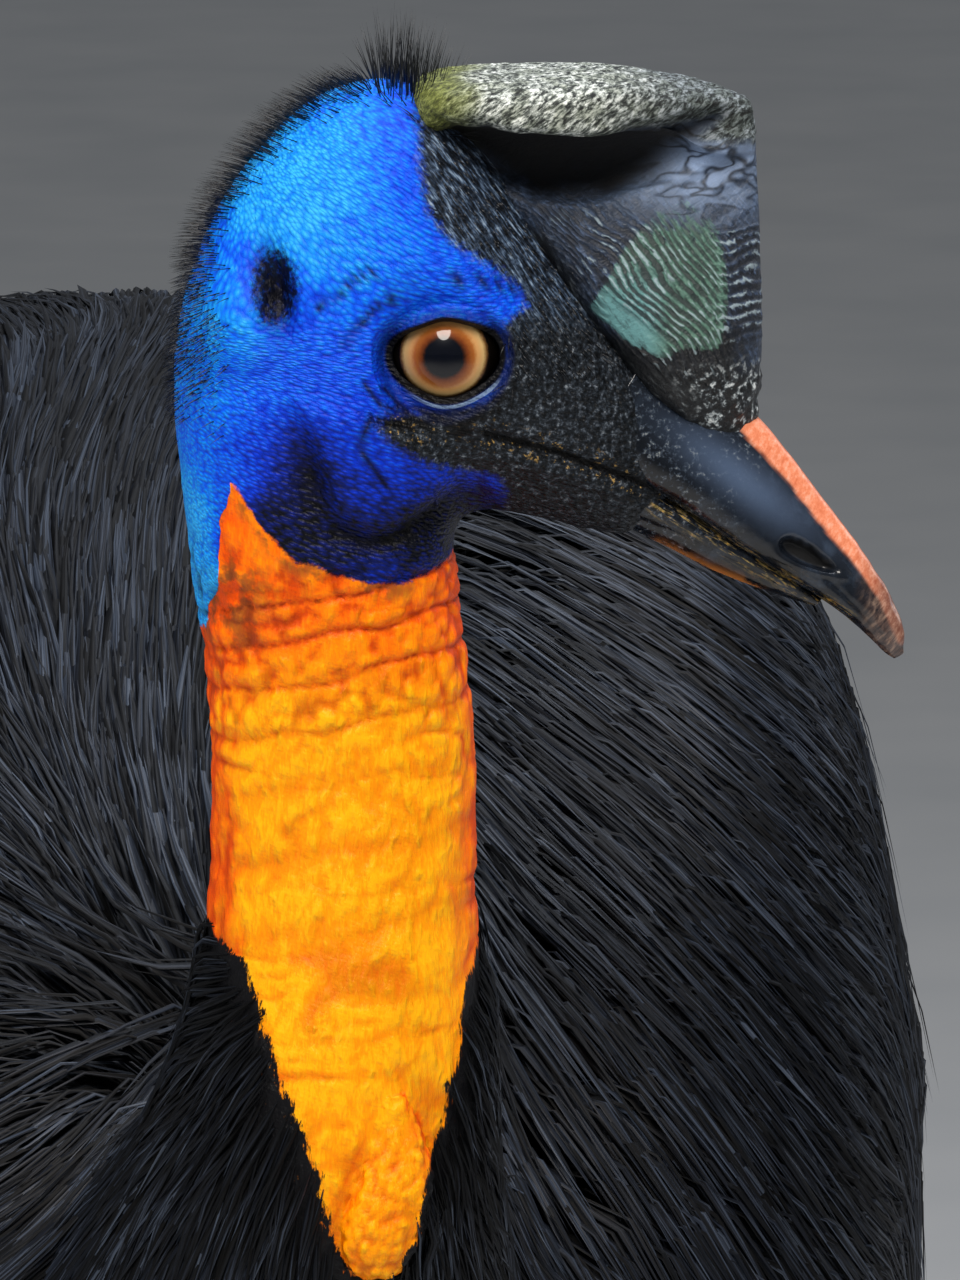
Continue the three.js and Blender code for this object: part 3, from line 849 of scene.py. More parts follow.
bill_upper = bill_half("bill_upper_horn", UPPER_ROWS, 180, 120, upper_relief)
bill_lower = bill_half("bill_lower_horn", LOWER_ROWS, 100, 56, lower_relief)
print("bill", triangles(bill_upper, bill_lower), "triangles")

# %% [markdown]
# ## The eyes
# Each eyeball is a sphere whose cornea stands out a little over the iris. Rings round its own axis
# let the material paint the pupil and the iris by their distance from that axis.

# %% Eyeballs
CORNEA_REACH = 9.5
CORNEA_RISE = 0.7
EYE_RINGS, EYE_AROUND = 62, 72


def eyeball(side, sign):
    middle = to_head(middle_of(f"eye_{side}"))
    polar = np.linspace(0, math.pi, EYE_RINGS + 2)[1:-1]
    around = np.linspace(0, 2 * math.pi, EYE_AROUND, endpoint=False)
    reach = EYE_RADIUS * np.sin(polar)[:, None]
    out = EYE_RADIUS * np.cos(polar)[:, None]
    out = out + CORNEA_RISE * ease(CORNEA_REACH, 2, reach) * (out > 0)
    place = middle[0] + reach * np.cos(around), sign * (EYE_OUT + out), reach * np.sin(around)
    grid = np.stack(np.broadcast_arrays(*place), axis=-1)
    faces = tube_faces(EYE_RINGS, EYE_AROUND)
    eye = point_outwards(make_mesh(f"eyeball_{side}", from_head(close_tube(grid)), faces))
    local = to_head(points_of(eye))
    write_values(eye, {"from_axis": np.hypot(local[:, 0], local[:, 2])})
    return eye


eyes = {side: eyeball(side, sign) for side, sign in SIDES}
print("eyeballs", triangles(*eyes.values()), "triangles")

# %% [markdown]
# ## Legs, feet and the wattle in one skin
# The photograph stops above the legs, so they follow the species: a heavy knobbed ankle, a
# straight scaly shank and three thick toes. Each leg is built from lofts that overlap. A voxel
# remesh turns them into one smooth surface with soft webs between the toes, and a boolean then
# joins the two legs and the wattle to the body's skin, so that the bird has a single skin.

# %% Rows of the legs
ANKLE = 345
LEG_ROWS = [
    # y from the leg's foot joint, height, half depth, half width, outwards
    [-62, 640, 88, 54, 6],
    [-36, 575, 80, 54, 6],
    [-2, 505, 62, 46, 4],
    [28, 440, 42, 35, 2],
    [47, 402, 31, 28.5, 0],
    [57, 376, 26, 25, 0],
    [62, ANKLE + 10, 28.5, 28, 0],
    [60, ANKLE - 14, 27, 27, 0],
    [52, ANKLE - 50, 21.5, 20.5, 0],
    [43, 240, 19, 18, 0],
    [34, 190, 18.6, 17.6, 0],
    [23, 130, 19, 18.6, 0],
    [9, 72, 21, 24, 0],
    [1, 44, 23, 27, 0],
    [-2, 27, 20, 22, 0],
]
TOES = {
    # degrees outwards, length, width
    "inner": (-27, 84, 33),
    "middle": (0, 152, 39),
    "outer": (30, 104, 32),
}
PAD_ROWS = [
    # y and height of the pad under the foot's joint, half depth, half width
    [0, 0.5, 12, 12], [0, 4, 25, 23], [0, 20, 35, 31], [2, 38, 28, 29], [4, 50, 18, 18],
]
VOXEL = 3.9
FLOOR_GAP = 0.4  # so that no sole dips into the floor
print("each leg has", len(LEG_ROWS), "rows,", len(PAD_ROWS), "for its pad, and", len(TOES), "toes")


# %% Lofts of the legs
def foot_of(side):
    """The place on the floor below the middle of a foot's solid."""
    return middle_of(f"foot_{side}") * [1, 1, 0]


def leg_lofts(side, sign):
    foot = foot_of(side)
    stations = [
        station(foot + [sign * out, y, z], [0, 0.95, 0.3], [1, 0, 0], deep, wide, 2.2)
        for y, z, deep, wide, out in LEG_ROWS
    ]
    yield stations, 100, 44
    for turn, length, width in TOES.values():
        yield toe_stations(foot, sign, turn, length, width), 60, 28
    pad = [station(foot + [0, y, z], [0, 1, 0], [1, 0, 0], *halves) for y, z, *halves in PAD_ROWS]
    yield pad, 28, 36


def toe_way(sign, turn):
    angle = math.radians(turn)
    return np.array([sign * math.sin(angle), -math.cos(angle), 0])


def toe_stations(foot, sign, turn, length, width):
    """A toe on the floor, swollen at its pads and narrowing to the claw."""
    way = toe_way(sign, turn)
    side = np.array([-way[1], way[0], 0])
    stations = []
    for i in range(9):
        t = i / 8
        swell = 1 + (0.07 if i % 2 else -0.05)
        wide = width / 2 * (1 - 0.36 * t) * swell
        high = width / 2 * (1.02 - 0.44 * t) * swell
        at = foot + way * (8 + t * (length - 10)) + [0, 0, high * 0.93]
        stations.append(station(at, HEAD_Z, side, high, wide, 2.3))
    return stations


print("feet at", [foot_of(side).round().tolist() for side, _ in SIDES])


# %% Legs
def apply_modifiers(obj):
    """Makes the object's mesh what its modifiers show."""
    graph = bpy.context.evaluated_depsgraph_get()
    mesh = bpy.data.meshes.new_from_object(obj.evaluated_get(graph))
    obj.modifiers.clear()
    obj.data = mesh
    return obj


def remeshed(obj, voxel, rounds):
    """Wraps the object in one closed surface, with faces about voxel across, and smooths it."""
    remesh = obj.modifiers.new("wrap", "REMESH")
    remesh.mode = "VOXEL"
    remesh.voxel_size = voxel * MM
    smooth = obj.modifiers.new("smooth", "SMOOTH")
    smooth.iterations = rounds
    smooth.factor = 0.5
    return apply_modifiers(obj)


def fused(name, lofts):
    """One closed surface round several overlapping lofts."""
    points, faces = [], []
    for stations, count, sides in lofts:
        faces += tube_faces(count, sides, sum(map(len, points)))
        points.append(close_tube(loft_grid(stations, count, sides)))
    return remeshed(point_outwards(make_mesh(name, np.vstack(points), faces)), VOXEL, 6)


def rest_on_floor(obj):
    """Lifts whatever would dip into the floor."""
    places = points_of(obj)
    places[:, 2] = np.maximum(places[:, 2], FLOOR_GAP)
    move_points(obj, places)


legs = [fused(f"leg_{side}", leg_lofts(side, sign)) for side, sign in SIDES]
for leg in legs:
    rest_on_floor(leg)
print("legs", triangles(*legs), "triangles")

# %% Wattle
WATTLE_ROWS = [
    # x, z from the hips, half depth, half width, how far it stands out
    [37, 919, 2.4, 3.4, 0.4],
    [38, 910, 4.8, 6.2, 2.4],
    [37.6, 901.5, 7, 9, 4.8],
    [36, 893, 8.4, 10.8, 6.6],
    [34.5, 885, 8.4, 10.8, 7.6],
    [33.4, 878.5, 6.6, 8.6, 7.2],
    [32.8, 874, 3, 4.4, 5.6],
]
skin_faces = [list(face.vertices) for face in skin.data.polygons]
neck_front = BVHTree.FromPolygons(points_of(skin).tolist(), skin_faces)


def wattle_station(x, z, deep, wide, out):
    """A cross-section set on the front of the neck, found by a ray from ahead."""
    hit = neck_front.ray_cast(Vector(HIPS + [x, -600, z]), Vector((0, 1, 0)))[0]
    middle = np.array([HIPS[0] + x, hit.y + deep - out, HIPS[2] + z])
    return station(middle, [-0.3, 0.95, 0], [0.95, 0.3, 0], deep, wide, 2.3)


def pebbles(points):
    return cells(points * [1, 1, 0.8], 2.5, 51)


wattle = loft_piece("wattle_skin", [wattle_station(*row) for row in WATTLE_ROWS], 64, 72)
push_out(wattle, 0.7 - 1.5 * pebbles(points_of(wattle)) ** 1.3)
print("wattle", triangles(wattle), "triangles")


# %% One skin
def join_solids(obj, *others):
    for other in others:
        union = obj.modifiers.new("join", "BOOLEAN")
        union.operation = "UNION"
        union.solver = "EXACT"
        union.object = other
        apply_modifiers(obj)
        bpy.data.objects.remove(other)
    obj.data.shade_smooth()
    return obj


join_solids(skin, *legs, wattle)
print("one skin", triangles(skin), "triangles")

# %% [markdown]
# ## Where each colour of skin lies
# A cassowary's bare skin has three colours with borders that wander from grain to grain: blue from sky
# colour on the crown to navy on the throat, black round the horn, and orange on the neck. The mesh stores
# how far each point is inside each border, in millimetres, how deep its blue is, with painted shade taking
# it to near black in the hollows under the jaw and behind the jowl, and how much painted light and shade its
# orange gets. The material then breaks the borders up finer than the mesh could.

# %% Places of the colours
BLACK_SKIN = [
    (-8.6, 67), (-6.6, 55.7), (-6, 46), (-4.2, 35), (1.2, 27.6), (9.4, 22.5), (17.4, 16.2),
    (19.9, 11.7), (14.6, 8), (12.5, 3.2), (12.5, -4), (10, -10.5), (-1, -13), (-13, -13.6),
    (-17.7, -15.2), (-13, -20.5), (-5.8, -25.4), (1.4, -28.4), (11, -30.4), (14.6, -33),
    (15, -60), (120, -60), (120, 90), (-8, 90),
]
BLUE_DEPTHS_AND_SHADE = [
    # x, z, from 0 for sky blue by 0.5 for royal blue to 1 for navy; the darkest, under the jaw and behind
    # the jowl, are partly painted shade
    (-25, 62, 0.16), (-45, 45, 0.06), (-22, 45, 0.1), (-36, 30, 0.06), (-12, 52, 0.34),
    (-12, 34, 0.24), (-6, 42, 0.46), (-62, 22, 0.28), (-66, -4, 0.2), (-65, -40, 0.05),
    (-57, -66, 0.02), (-50, 9, 0.08), (-22, 18, 0.22), (-27, 4, 0.36), (0, 18, 0.34),
    (12, 16, 0.4), (-18, 8, 0.42), (-25, -10, 0.44), (-32, -2, 0.38), (-20, -22, 0.5),
    (-17, -36, 0.66), (-6, -31, 0.58), (8, -31, 0.36), (-33, -26, 0.8), (-34, -36, 0.88),
    (0, -47, 1.15), (-6, -49, 1.1), (-45, -24, 0.5), (-53, -28, 0.3), (-42, -43, 0.9),
    (-28, -46, 0.95), (-14, -45, 1.0), (-2, -43, 1.08), (7, -38, 1.1), (-55, -12, 0.26),
    (-42, 14, 0.5), (-46, -6, 0.36), (-12, -56, 0.42), (1, -54, 0.42), (-26, -54, 0.8),
]
BLUE_SPREAD = 72  # square millimetres over which one of these depths fades into the next
# The plumage's border on each side of the bare throat: x and z from the hips, from below
RIGHT_BORDER = [(28, 876), (22.8, 887), (18.8, 901), (12.2, 921), (7.6, 937), (3, 950)]
RIGHT_BORDER += [(-6, 956), (-60, 956)]
LEFT_BORDER = [(39, 876), (43, 888), (44, 898), (48, 909), (53, 925), (55, 940), (60, 951), (95, 956)]


def blue_depth_and_shade(local):
    x, _, z = local.T
    total, weight = np.zeros(len(x)), np.full(len(x), 1e-9)
    for ax, az, depth in BLUE_DEPTHS_AND_SHADE:
        near = np.exp(-((x - ax) ** 2 + (z - az) ** 2) / BLUE_SPREAD) + 1e-6
        total += near * depth
        weight += near
    return total / weight


def throat_sides(z):
    """The x of the plumage's border on each side of the throat, at heights from the hips."""
    return [np.interp(z, [p[1] for p in line], [p[0] for p in line]) for line in (RIGHT_BORDER, LEFT_BORDER)]


def bare_skin(points):
    """1 on the head and the bare throat, falling to 0 under the plumage."""
    x, y, z = (np.asarray(points) - HIPS).T
    left, right = throat_sides(z)
    inside = np.where((y < -415) & (z > 874), np.minimum(x - left, right - x), -30)
    above = np.where(y < -385, z - (953 + 18 * ease(-440, -400, y)), -30)
    return ease(-2.5, 1.5, np.maximum(inside, above) + 1.9 * noise(points, 5, 61))


# %% Markings
def wattle_depth(points):
    """1 on the wattle, and 1 in the shaded groove beside it."""
    x, y, z = (points - HIPS).T
    rows = np.array(WATTLE_ROWS[::-1])
    half, middle = np.interp(z, rows[:, 1], rows[:, 3]), np.interp(z, rows[:, 1], rows[:, 0])
    depth = np.where(y < -425, half - np.abs(x - middle), -30)
    lower = ease(916, 902, z)
    return ease(-0.4, 1, depth) * lower, bump(depth + 1.6, 1.5) * lower


def skin_marks(points, facing):
    """The values that the skin's material reads, for each point, by name."""
    local = to_head(points)
    x, y, z = local.T
    # Painted light and shade on the orange: lighter where the skin faces ahead or back and in two bands down
    # the neck, darker at its sides and high up, most of all at the back
    light = 0.95 * ease(0.1, 0.85, facing) - 0.45 * ease(-100, -60, z) * ease(0, 1, facing)
    light += 0.25 * bump(z + 98, 16) + 0.16 * bump(z + 148, 22)
    light -= 0.25 * ease(-30, -60, x) * ease(-90, -60, z)
    # The wattle and the groove beside it get one even painted light; the crevices between its pebbles and
    # the groove get painted shade
    inside, beside = wattle_depth(points)
    light += (0.84 - light) * np.maximum(inside, beside) * 0.9
    pebbled = 0.5 * inside * ease(0.42, 0.75, pebbles(points))
    orange = orange_edge(local)
    seam = 0.9 * bump(orange - 1.6, 2.6) * ease(6, -14, x)
    off_middle = np.abs(y) > 8
    lid = np.hypot(x, z)
    lid = lid / (1 + (lid_shape(np.arctan2(z, x)) - 1) * ease(17.5, 13, lid))
    lean = 0.55 * ease(-8, 40, z) * ease(22, -14, x) + 0.3 * ease(10, -10, z)
    # Where the ear's opening is painted dark, as the shade in its hole
    ear = ease(2.3, 0.7, np.hypot((x + 40.5) / 4.2, (z - 16.5) / 6.8))
    return {
        "inside_black": np.clip(outline_depth(x, z, BLACK_SKIN), -20, 20),
        "inside_orange": np.clip(orange, -20, 60),
        "blue_depth_and_shade": blue_depth_and_shade(local),
        "orange_painted_light": np.clip(light, 0, 1),
        "grime": np.maximum(seam, ease(-36, -52, x) * ease(-90, -60, z) * ease(-42, -56, z)),
        "crease_shade": np.maximum.reduce([sculpt(local)[1] * (1 - inside), pebbled, 0.6 * beside]),
        "lid": np.where(off_middle, np.clip(lid, 0, 40), 40),
        "below_eye": 0.5 * ease(-5, -9, z) * ease(-10, -3, x),
        "scaly": ease(400, 380, points[:, 2]),
        "under_plumage_shade": 1 - bare_skin(points),
        "grain_up": z + lean * x,
        "mouth": np.clip(line_distance(x, z, FOLDS[0][2]) + 40 * ~off_middle, 0, 40),
        "brow_black": ease(2, 14, z) * ease(75, 20, x),
        "near_bill": 0.35 * ease(44, 66, x - 0.5 * z + 4 * noise(local, 7, 84)),
        "ear": ear * off_middle,
    }


skin_values = skin_marks(points_of(skin), np.abs(normals_of(skin)[:, 1]))
write_values(skin, skin_values)
print("marked", len(skin.data.vertices), "points with", len(skin_values), "values each")

# %% [markdown]
# ## Materials
# Every colour is given as it looks on a screen and turned to linear light by one function. One
# more function adds a node with its settings and inputs. Patterns read the object's own
# coordinates in millimetres, or a value stored on the mesh.


# %% Colours and nodes
MATH, MIX, RAMP, RANGE = "ShaderNodeMath", "ShaderNodeMix", "ShaderNodeValToRGB", "ShaderNodeMapRange"
NOISE, CELLS, STORED = "ShaderNodeTexNoise", "ShaderNodeTexVoronoi", "ShaderNodeAttribute"
PLACE, TURN, BUMP = "ShaderNodeTexCoord", "ShaderNodeMapping", "ShaderNodeBump"
JOIN, SPLIT, CHANNELS = "ShaderNodeCombineXYZ", "ShaderNodeSeparateXYZ", "ShaderNodeSeparateColor"
EVEN = {"interpolation_type": "SMOOTHSTEP"}
RGB = {"data_type": "RGBA", "out": 2}
TIMES, PLUS, LESS = {"operation": "MULTIPLY"}, {"operation": "ADD"}, {"operation": "SUBTRACT"}
TIMES_PLUS, HIGHER = {"operation": "MULTIPLY_ADD"}, {"operation": "MAXIMUM"}


def tint(code):
    """A hex colour as linear light."""
    parts = [int(code[i : i + 2], 16) / 255 for i in (1, 3, 5)]
    return (*[c / 12.92 if c <= 0.04045 else ((c + 0.055) / 1.055) ** 2.4 for c in parts], 1.0)


def add_node(tree, kind, inputs=None, out=0, stops=(), **settings):
    """Adds a node with its settings, links or sets its inputs, and gives back one output."""
    made = tree.nodes.new(kind)
    for key, value in settings.items():
        setattr(made, key, value)
    for key, value in (inputs or {}).items():
        if isinstance(value, bpy.types.NodeSocket):
            tree.links.new(value, made.inputs[key])
        else:
            made.inputs[key].default_value = tint(value) if str(value).startswith("#") else value
    for i, (at, code) in enumerate(stops):
        ramp = made.color_ramp.elements
        stop = ramp[i] if i < 2 else ramp.new(at)
        stop.position, stop.color = at, tint(code)
    return made.outputs[out]


print("mid grey as linear light", round(tint("#808080")[0], 3))


# %% Materials
def new_material(name, **values):
    """A material with some shader sockets set, a way to add nodes and a way to plug them in."""
    material = bpy.data.materials.new(name)
    material.use_nodes = True
    tree = material.node_tree
    sockets = tree.nodes["Principled BSDF"].inputs
    for socket, value in values.items():
        sockets[socket.replace("_", " ")].default_value = value

    def plug_in(**outputs):
        for socket, output in outputs.items():
            tree.links.new(output, sockets[socket.replace("_", " ")])

    return material, partial(add_node, tree), plug_in


def in_mm(add):
    """The object's own coordinates in millimetres."""
    return add(TURN, {0: add(PLACE, out="Object"), "Scale": (1000, 1000, 1000)})


def aslant(add, place, degrees, scale):
    """Coordinates turned, as seen from the head's side, and then scaled, for slanting streaks."""
    turned = add(TURN, {0: place, "Rotation": (0, math.radians(degrees), 0)})
    return add(TURN, {0: turned, "Scale": scale})


def read_values(add, names):
    """The values stored on the mesh, by name."""
    return {name: add(STORED, attribute_name=name, out="Fac") for name in names}


def paint(add, colour, layers, **how):
    """Lays more colours over a first one, each as far as its own share says."""
    for share, over in layers:
        colour = add(MIX, {0: share, 6: colour, 7: over}, **RGB, **how)
    return colour


def dress(look, *pieces):
    """Gives each piece the material, in place of any that it has."""
    for piece in pieces:
        piece.data.materials.clear()
        piece.data.materials.append(look)
    print(look.name, "of", len(look.node_tree.nodes), "nodes on", len(pieces), "pieces")


print("helpers for materials ready")

# %% [markdown]
# ### Bare skin
# Living skin of a bird: granular, slightly moist and thick. Grains about a millimetre wide stand in rows
# over the crown, so the grain is drawn with cells that are longer along those rows. The blue comes from the
# way the skin's fibres scatter light and the orange from a pigment, and both are painted darker in the
# hollows between the grains, as shade. The orange's brightness is painted light too, and the creases get
# painted shade.

# %% Patterns of the skin
skin_look, add, plug_in = new_material(
    "bare_granular_skin", Roughness=0.44, IOR=1.42, Specular_IOR_Level=0.22)
stored = read_values(add, skin_values)
here, mm = add(PLACE, out="Object"), in_mm(add)
split = add(SPLIT, {0: mm}).node.outputs
rows = add(JOIN, {
    0: add(MATH, {0: split[0], 1: 0.42}, **TIMES),
    1: add(MATH, {0: split[1], 1: 0.8}, **TIMES),
    2: add(MATH, {0: stored["grain_up"], 1: 1.2}, **TIMES),
})
# One fine and one coarse noise give three patterns each
fine = add(NOISE, {"Vector": mm, "Scale": 0.75, "Detail": 3.0, "Roughness": 0.65}, out="Color")
fine = add(CHANNELS, {0: fine}).node.outputs
coarse = add(NOISE, {"Vector": mm, "Scale": 0.16, "Detail": 3.0, "Roughness": 0.6}, out="Color")
coarse = add(CHANNELS, {0: coarse}).node.outputs
upright = add(TURN, {0: mm, "Scale": (1.7, 1.7, 0.45)})
pores = add(NOISE, {"Vector": upright, "Scale": 0.75, "Detail": 3.0, "Roughness": 0.65})
grain = add(CELLS, {"Vector": rows, "Scale": 1.0}, out="Distance")
drift = add(NOISE, {"Vector": mm, "Scale": 0.07, "Detail": 2.0}, out="Color")
warped = add(MIX, {0: 0.012, 4: here, 5: drift}, data_type="VECTOR", out=1)
warped = add(TURN, {0: warped, "Scale": (360, 300, 150)})
crinkle = add(CELLS, {"Vector": warped, "Scale": 1.0}, out="Distance", feature="SMOOTH_F1")
slanting = aslant(add, mm, -56, (0.26, 0.8, 1.6))
streaks = add(NOISE, {"Vector": slanting, "Scale": 0.9, "Detail": 2.0, "Roughness": 0.6})

# %% Colours of the skin
# How far each border reaches, broken up by the noise
shift = add(MATH, {0: fine[0], 1: 5.0, 2: -2.5}, **TIMES_PLUS)
edge_orange = add(MATH, {0: shift, 1: 0.5, 2: stored["inside_orange"]}, **TIMES_PLUS)
edge_orange = add(RANGE, {0: edge_orange, 1: -0.5, 2: 0.7}, **EVEN)
edge_black = add(MATH, {0: shift, 1: stored["inside_black"]}, **PLUS)
edge_black = add(RANGE, {0: edge_black, 1: -1.8, 2: 1.8}, **EVEN)

# The blue deepens between the grains and, by the stored depths, to near black under the jaw: partly the
# skin's navy, partly painted shade
depth = add(MATH, {0: grain, 1: 0.4, 2: stored["blue_depth_and_shade"]}, **TIMES_PLUS)
depth = add(MATH, {0: coarse[0], 1: 0.3, 2: depth}, **TIMES_PLUS)
depth = add(MATH, {0: depth, 1: 0.33}, **LESS, use_clamp=True)
blue = add(RAMP, {0: depth}, stops=[
    (0, "#2faaf4"), (0.16, "#0c86ea"), (0.36, "#0356e6"), (0.55, "#0030c6"), (0.76, "#02176a"),
    (1, "#010310")])
# The orange is painted light: its stored share picks a tone from deep red-orange in the shade to yellow in
# the light
light = stored["orange_painted_light"]
# Pores speckle the painted light, and the crinkle's crevices and the creases take painted shade
for pattern, strength in ((pores, 0.8), (crinkle, -0.55), (stored["crease_shade"], -0.6)):
    light = add(MATH, {0: pattern, 1: strength, 2: light}, **TIMES_PLUS)
light = add(MATH, {0: light, 1: 0.17}, **LESS, use_clamp=True)
orange = add(RAMP, {0: light}, stops=[
    (0, "#ee5000"), (0.25, "#fd6a00"), (0.55, "#fe8600"), (0.85, "#ff9d00"), (1, "#ffb008")])
dirt = add(RANGE, {0: coarse[1], 1: 0.45, 2: 0.6, 4: 0.75}, **EVEN)
dirt = add(MATH, {0: dirt, 1: stored["grime"]}, **TIMES)
orange = paint(add, orange, [(dirt, "#5a4520")])

black = add(RAMP, {0: fine[1]}, stops=[
    (0.38, "#07090c"), (0.52, "#171c22"), (0.61, "#343b44"), (0.69, "#626a72"), (0.82, "#989d9e")])
# Light streaks over the black brow are painted highlights on its bristles
bristle_glints = add(RAMP, {0: streaks}, stops=[
    (0.36, "#080b10"), (0.49, "#1e2836"), (0.58, "#42536a"), (0.67, "#71859c"), (0.82, "#a9b5bf")])
gold = add(RANGE, {0: stored["mouth"], 1: 5.5, 2: 0.6}, **EVEN)
gold = add(MATH, {0: gold, 1: add(RANGE, {0: fine[2], 1: 0.6, 2: 0.68}, **EVEN)}, **TIMES)
slit = add(RANGE, {0: stored["mouth"], 1: 1.2, 2: 0.5, 4: 0.92}, **EVEN)
black = paint(add, black, [
    (stored["brow_black"], bristle_glints), (stored["near_bill"], "#06080b"), (gold, "#a8894e"),
    (slit, "#020204")])

# The ear's opening is painted nearly black as the shade in its hole, fringed with down. Round the eye the
# skin is darker, the lids have a black rim, and the lower one has a pale wet edge, a painted glint.
ear = add(MATH, {0: fine[2], 1: 1.5, 2: stored["ear"]}, **TIMES_PLUS)
ear = add(RANGE, {0: ear, 1: 1.15, 2: 1.75, 4: 0.96}, **EVEN)
lid_bed = add(RANGE, {0: stored["lid"], 1: 17.5, 2: 14.5, 4: 0.7}, **EVEN)
lid_rim = add(RANGE, {0: stored["lid"], 1: 13.9, 2: 12.6}, **EVEN)
# A painted glint along the wet edge of the lower lid
wet_glint = add(MATH, {0: stored["lid"], 1: 13.6, 2: 0.5}, operation="COMPARE")
wet_glint = add(MATH, {0: wet_glint, 1: stored["below_eye"]}, **TIMES)
colour = paint(add, blue, [
    (edge_black, black), (edge_orange, orange), (ear, "#04060c"), (lid_bed, "#052068"),
    (lid_rim, "#030408"), (wet_glint, "#8fa8bd")])
# Painted shade in the creases, dips and crevices: the colour is multiplied darker there, about half as much
# on the orange
shade = add(MIX, {0: edge_orange, 2: 0.93, 3: 0.5}, data_type="FLOAT")
shade = add(MATH, {0: stored["crease_shade"], 1: shade}, **TIMES)
colour = paint(add, colour, [(shade, "#1c0a04")], blend_type="MULTIPLY")

# Under the plumage the skin is painted nearly black, the shade that the coat casts on it; the legs have
# horny scales, 5 to 6 mm across
ragged_plumage_shade = add(MATH, {0: pores, 1: 1.6, 2: stored["under_plumage_shade"]}, **TIMES_PLUS)
ragged_plumage_shade = add(RANGE, {0: ragged_plumage_shade, 1: 1.2, 2: 1.5}, **EVEN)
plates = add(TURN, {0: mm, "Scale": (1, 1, 0.75)})
plates = add(CELLS, {"Vector": plates, "Scale": 0.17}, out="Distance")
horny = add(MATH, {0: coarse[2], 1: 0.5, 2: plates}, **TIMES_PLUS)
horny = add(RAMP, {0: horny}, stops=[
    (0.2, "#928c78"), (0.5, "#7a7461"), (0.8, "#4d4739"), (1, "#2a261f")])
colour = paint(add, colour, [(ragged_plumage_shade, "#0b0b0e"), (stored["scaly"], horny)])

# %% Grain of the skin
grained = add(MIX, {0: edge_orange, 2: -1.0, 3: -0.2}, data_type="FLOAT")
height = add(MATH, {0: pores, 1: 0.9}, **TIMES)
height = add(MATH, {0: grain, 1: grained, 2: height}, **TIMES_PLUS)
wrinkled = add(MATH, {0: edge_orange, 1: -2.6}, **TIMES)
height = add(MATH, {0: crinkle, 1: wrinkled, 2: height}, **TIMES_PLUS)
plates = add(MATH, {0: plates, 1: -2.0}, **TIMES)
height = add(MIX, {0: stored["scaly"], 2: height, 3: plates}, data_type="FLOAT")
relief = add(BUMP, {"Height": height, "Distance": 0.55 * MM, "Strength": 0.9})
plug_in(Base_Color=colour, Normal=relief)
dress(skin_look, skin)

# %% [markdown]
# ### Horn
# The casque is horn that has weathered: dark and half glossy on its ridged sides, flaking to
# chalky grey on the plate on top, and stained green where algae grow. The bill is the same stuff
# polished by use.

# %% Marks on the casque
STAIN = [
    (36, 10), (43, 24), (50, 34), (60, 36), (66, 30), (68, 14), (66, 0), (58, 0), (53, -2.5), (45, 1),
]


def casque_marks(local):
    """The values that the casque's material reads, for each point, by name."""
    x, y, z = local.T
    fan, front, _, shaded_hollow = casque_parts(local)
    fan_phase, front_phase = ridge_phases(local)
    stained = ease(-3, 2.4, outline_depth(x, z, STAIN) + 1.8 * layered(local, 9, 3, 74))
    below_horn = ease(2, -3, line_side(x, z, HORN_BORDER) + 2 * noise(local, 5, 75))
    return {
        "fan": fan,
        "front": front,
        "fan_phase": fan_phase,
        "front_phase": front_phase,
        "fine_ridges": ease(38, 27, x),
        "grey": 0.35 * bump(np.hypot((x - 55) / 20, (z - 38) / 9), 1),
        # Where a painted sky reflection lies on the upper front corner
        "sky": 0.75 * bump(np.hypot((x - 65) / 15, (z - 45) / 13), 1),
        "low_side": ease(9, -1, z + 3 * noise(local, 8, 76)) * ease(76, 68, x),
        "stain": stained * (1 - 0.58 * ease(12, 34, z)),
        "teal": ease(56, 47, x) * ease(24, 10, z),
        "plate": ease(46.5, 50.5, z + 1.2 * noise(local, 4, 71)) * ease(0, 0.6, 1 - shaded_hollow),
        "front_top": 0.75 * ease(34, 58, x + 4 * noise(local, 9, 73)),
        "algae": ease(12, 0, x + 4 * noise(local, 7, 72)) * ease(38, 46, z),
        "knobs": ease(-2, -9, z) * ease(52, 62, x),
        "under_horn": below_horn * ease(48, 42, z) * ease(66, 58, x),
        # The hollow under the rim, painted nearly black as its shade
        "shaded_hollow": 0.98 * shaded_hollow,
    }


casque_values = casque_marks(casque_local)
write_values(casque, casque_values)
print("marked the casque with", len(casque_values), "values")

# %% Patterns of the casque
casque_look, add, plug_in = new_material(
    "weathered_casque_horn", Roughness=0.34, IOR=1.54, Specular_IOR_Level=0.36)
stored = read_values(add, casque_values)
mm = in_mm(add)
slanting = aslant(add, mm, -50, (0.35, 1, 1.2))
streaks = add(NOISE, {"Vector": slanting, "Scale": 0.75, "Detail": 4.0, "Roughness": 0.7})
slanting = aslant(add, mm, 38, (0.4, 0.9, 1.3))
flaky = add(NOISE, {"Vector": slanting, "Scale": 0.8, "Detail": 4.0, "Roughness": 0.75})
crumbs = add(NOISE, {"Vector": mm, "Scale": 0.55, "Detail": 3.0, "Roughness": 0.6})
worn = add(NOISE, {"Vector": mm, "Scale": 0.2, "Detail": 3.0, "Roughness": 0.6})
worn = add(RANGE, {0: worn, 1: 0.38, 2: 0.6, 3: 0.3, 4: 1.1}, **EVEN)
adrift = add(NOISE, {"Vector": mm, "Scale": 0.09, "Detail": 0.0})
adrift = add(MATH, {0: adrift, 1: 7.0}, **TIMES)
crumpled = add(NOISE, {
    "Vector": add(TURN, {0: mm, "Scale": (0.7, 1, 1.5)}),
    "Scale": 0.16, "Detail": 1.0, "Roughness": 0.5, "Distortion": 0.4,
})
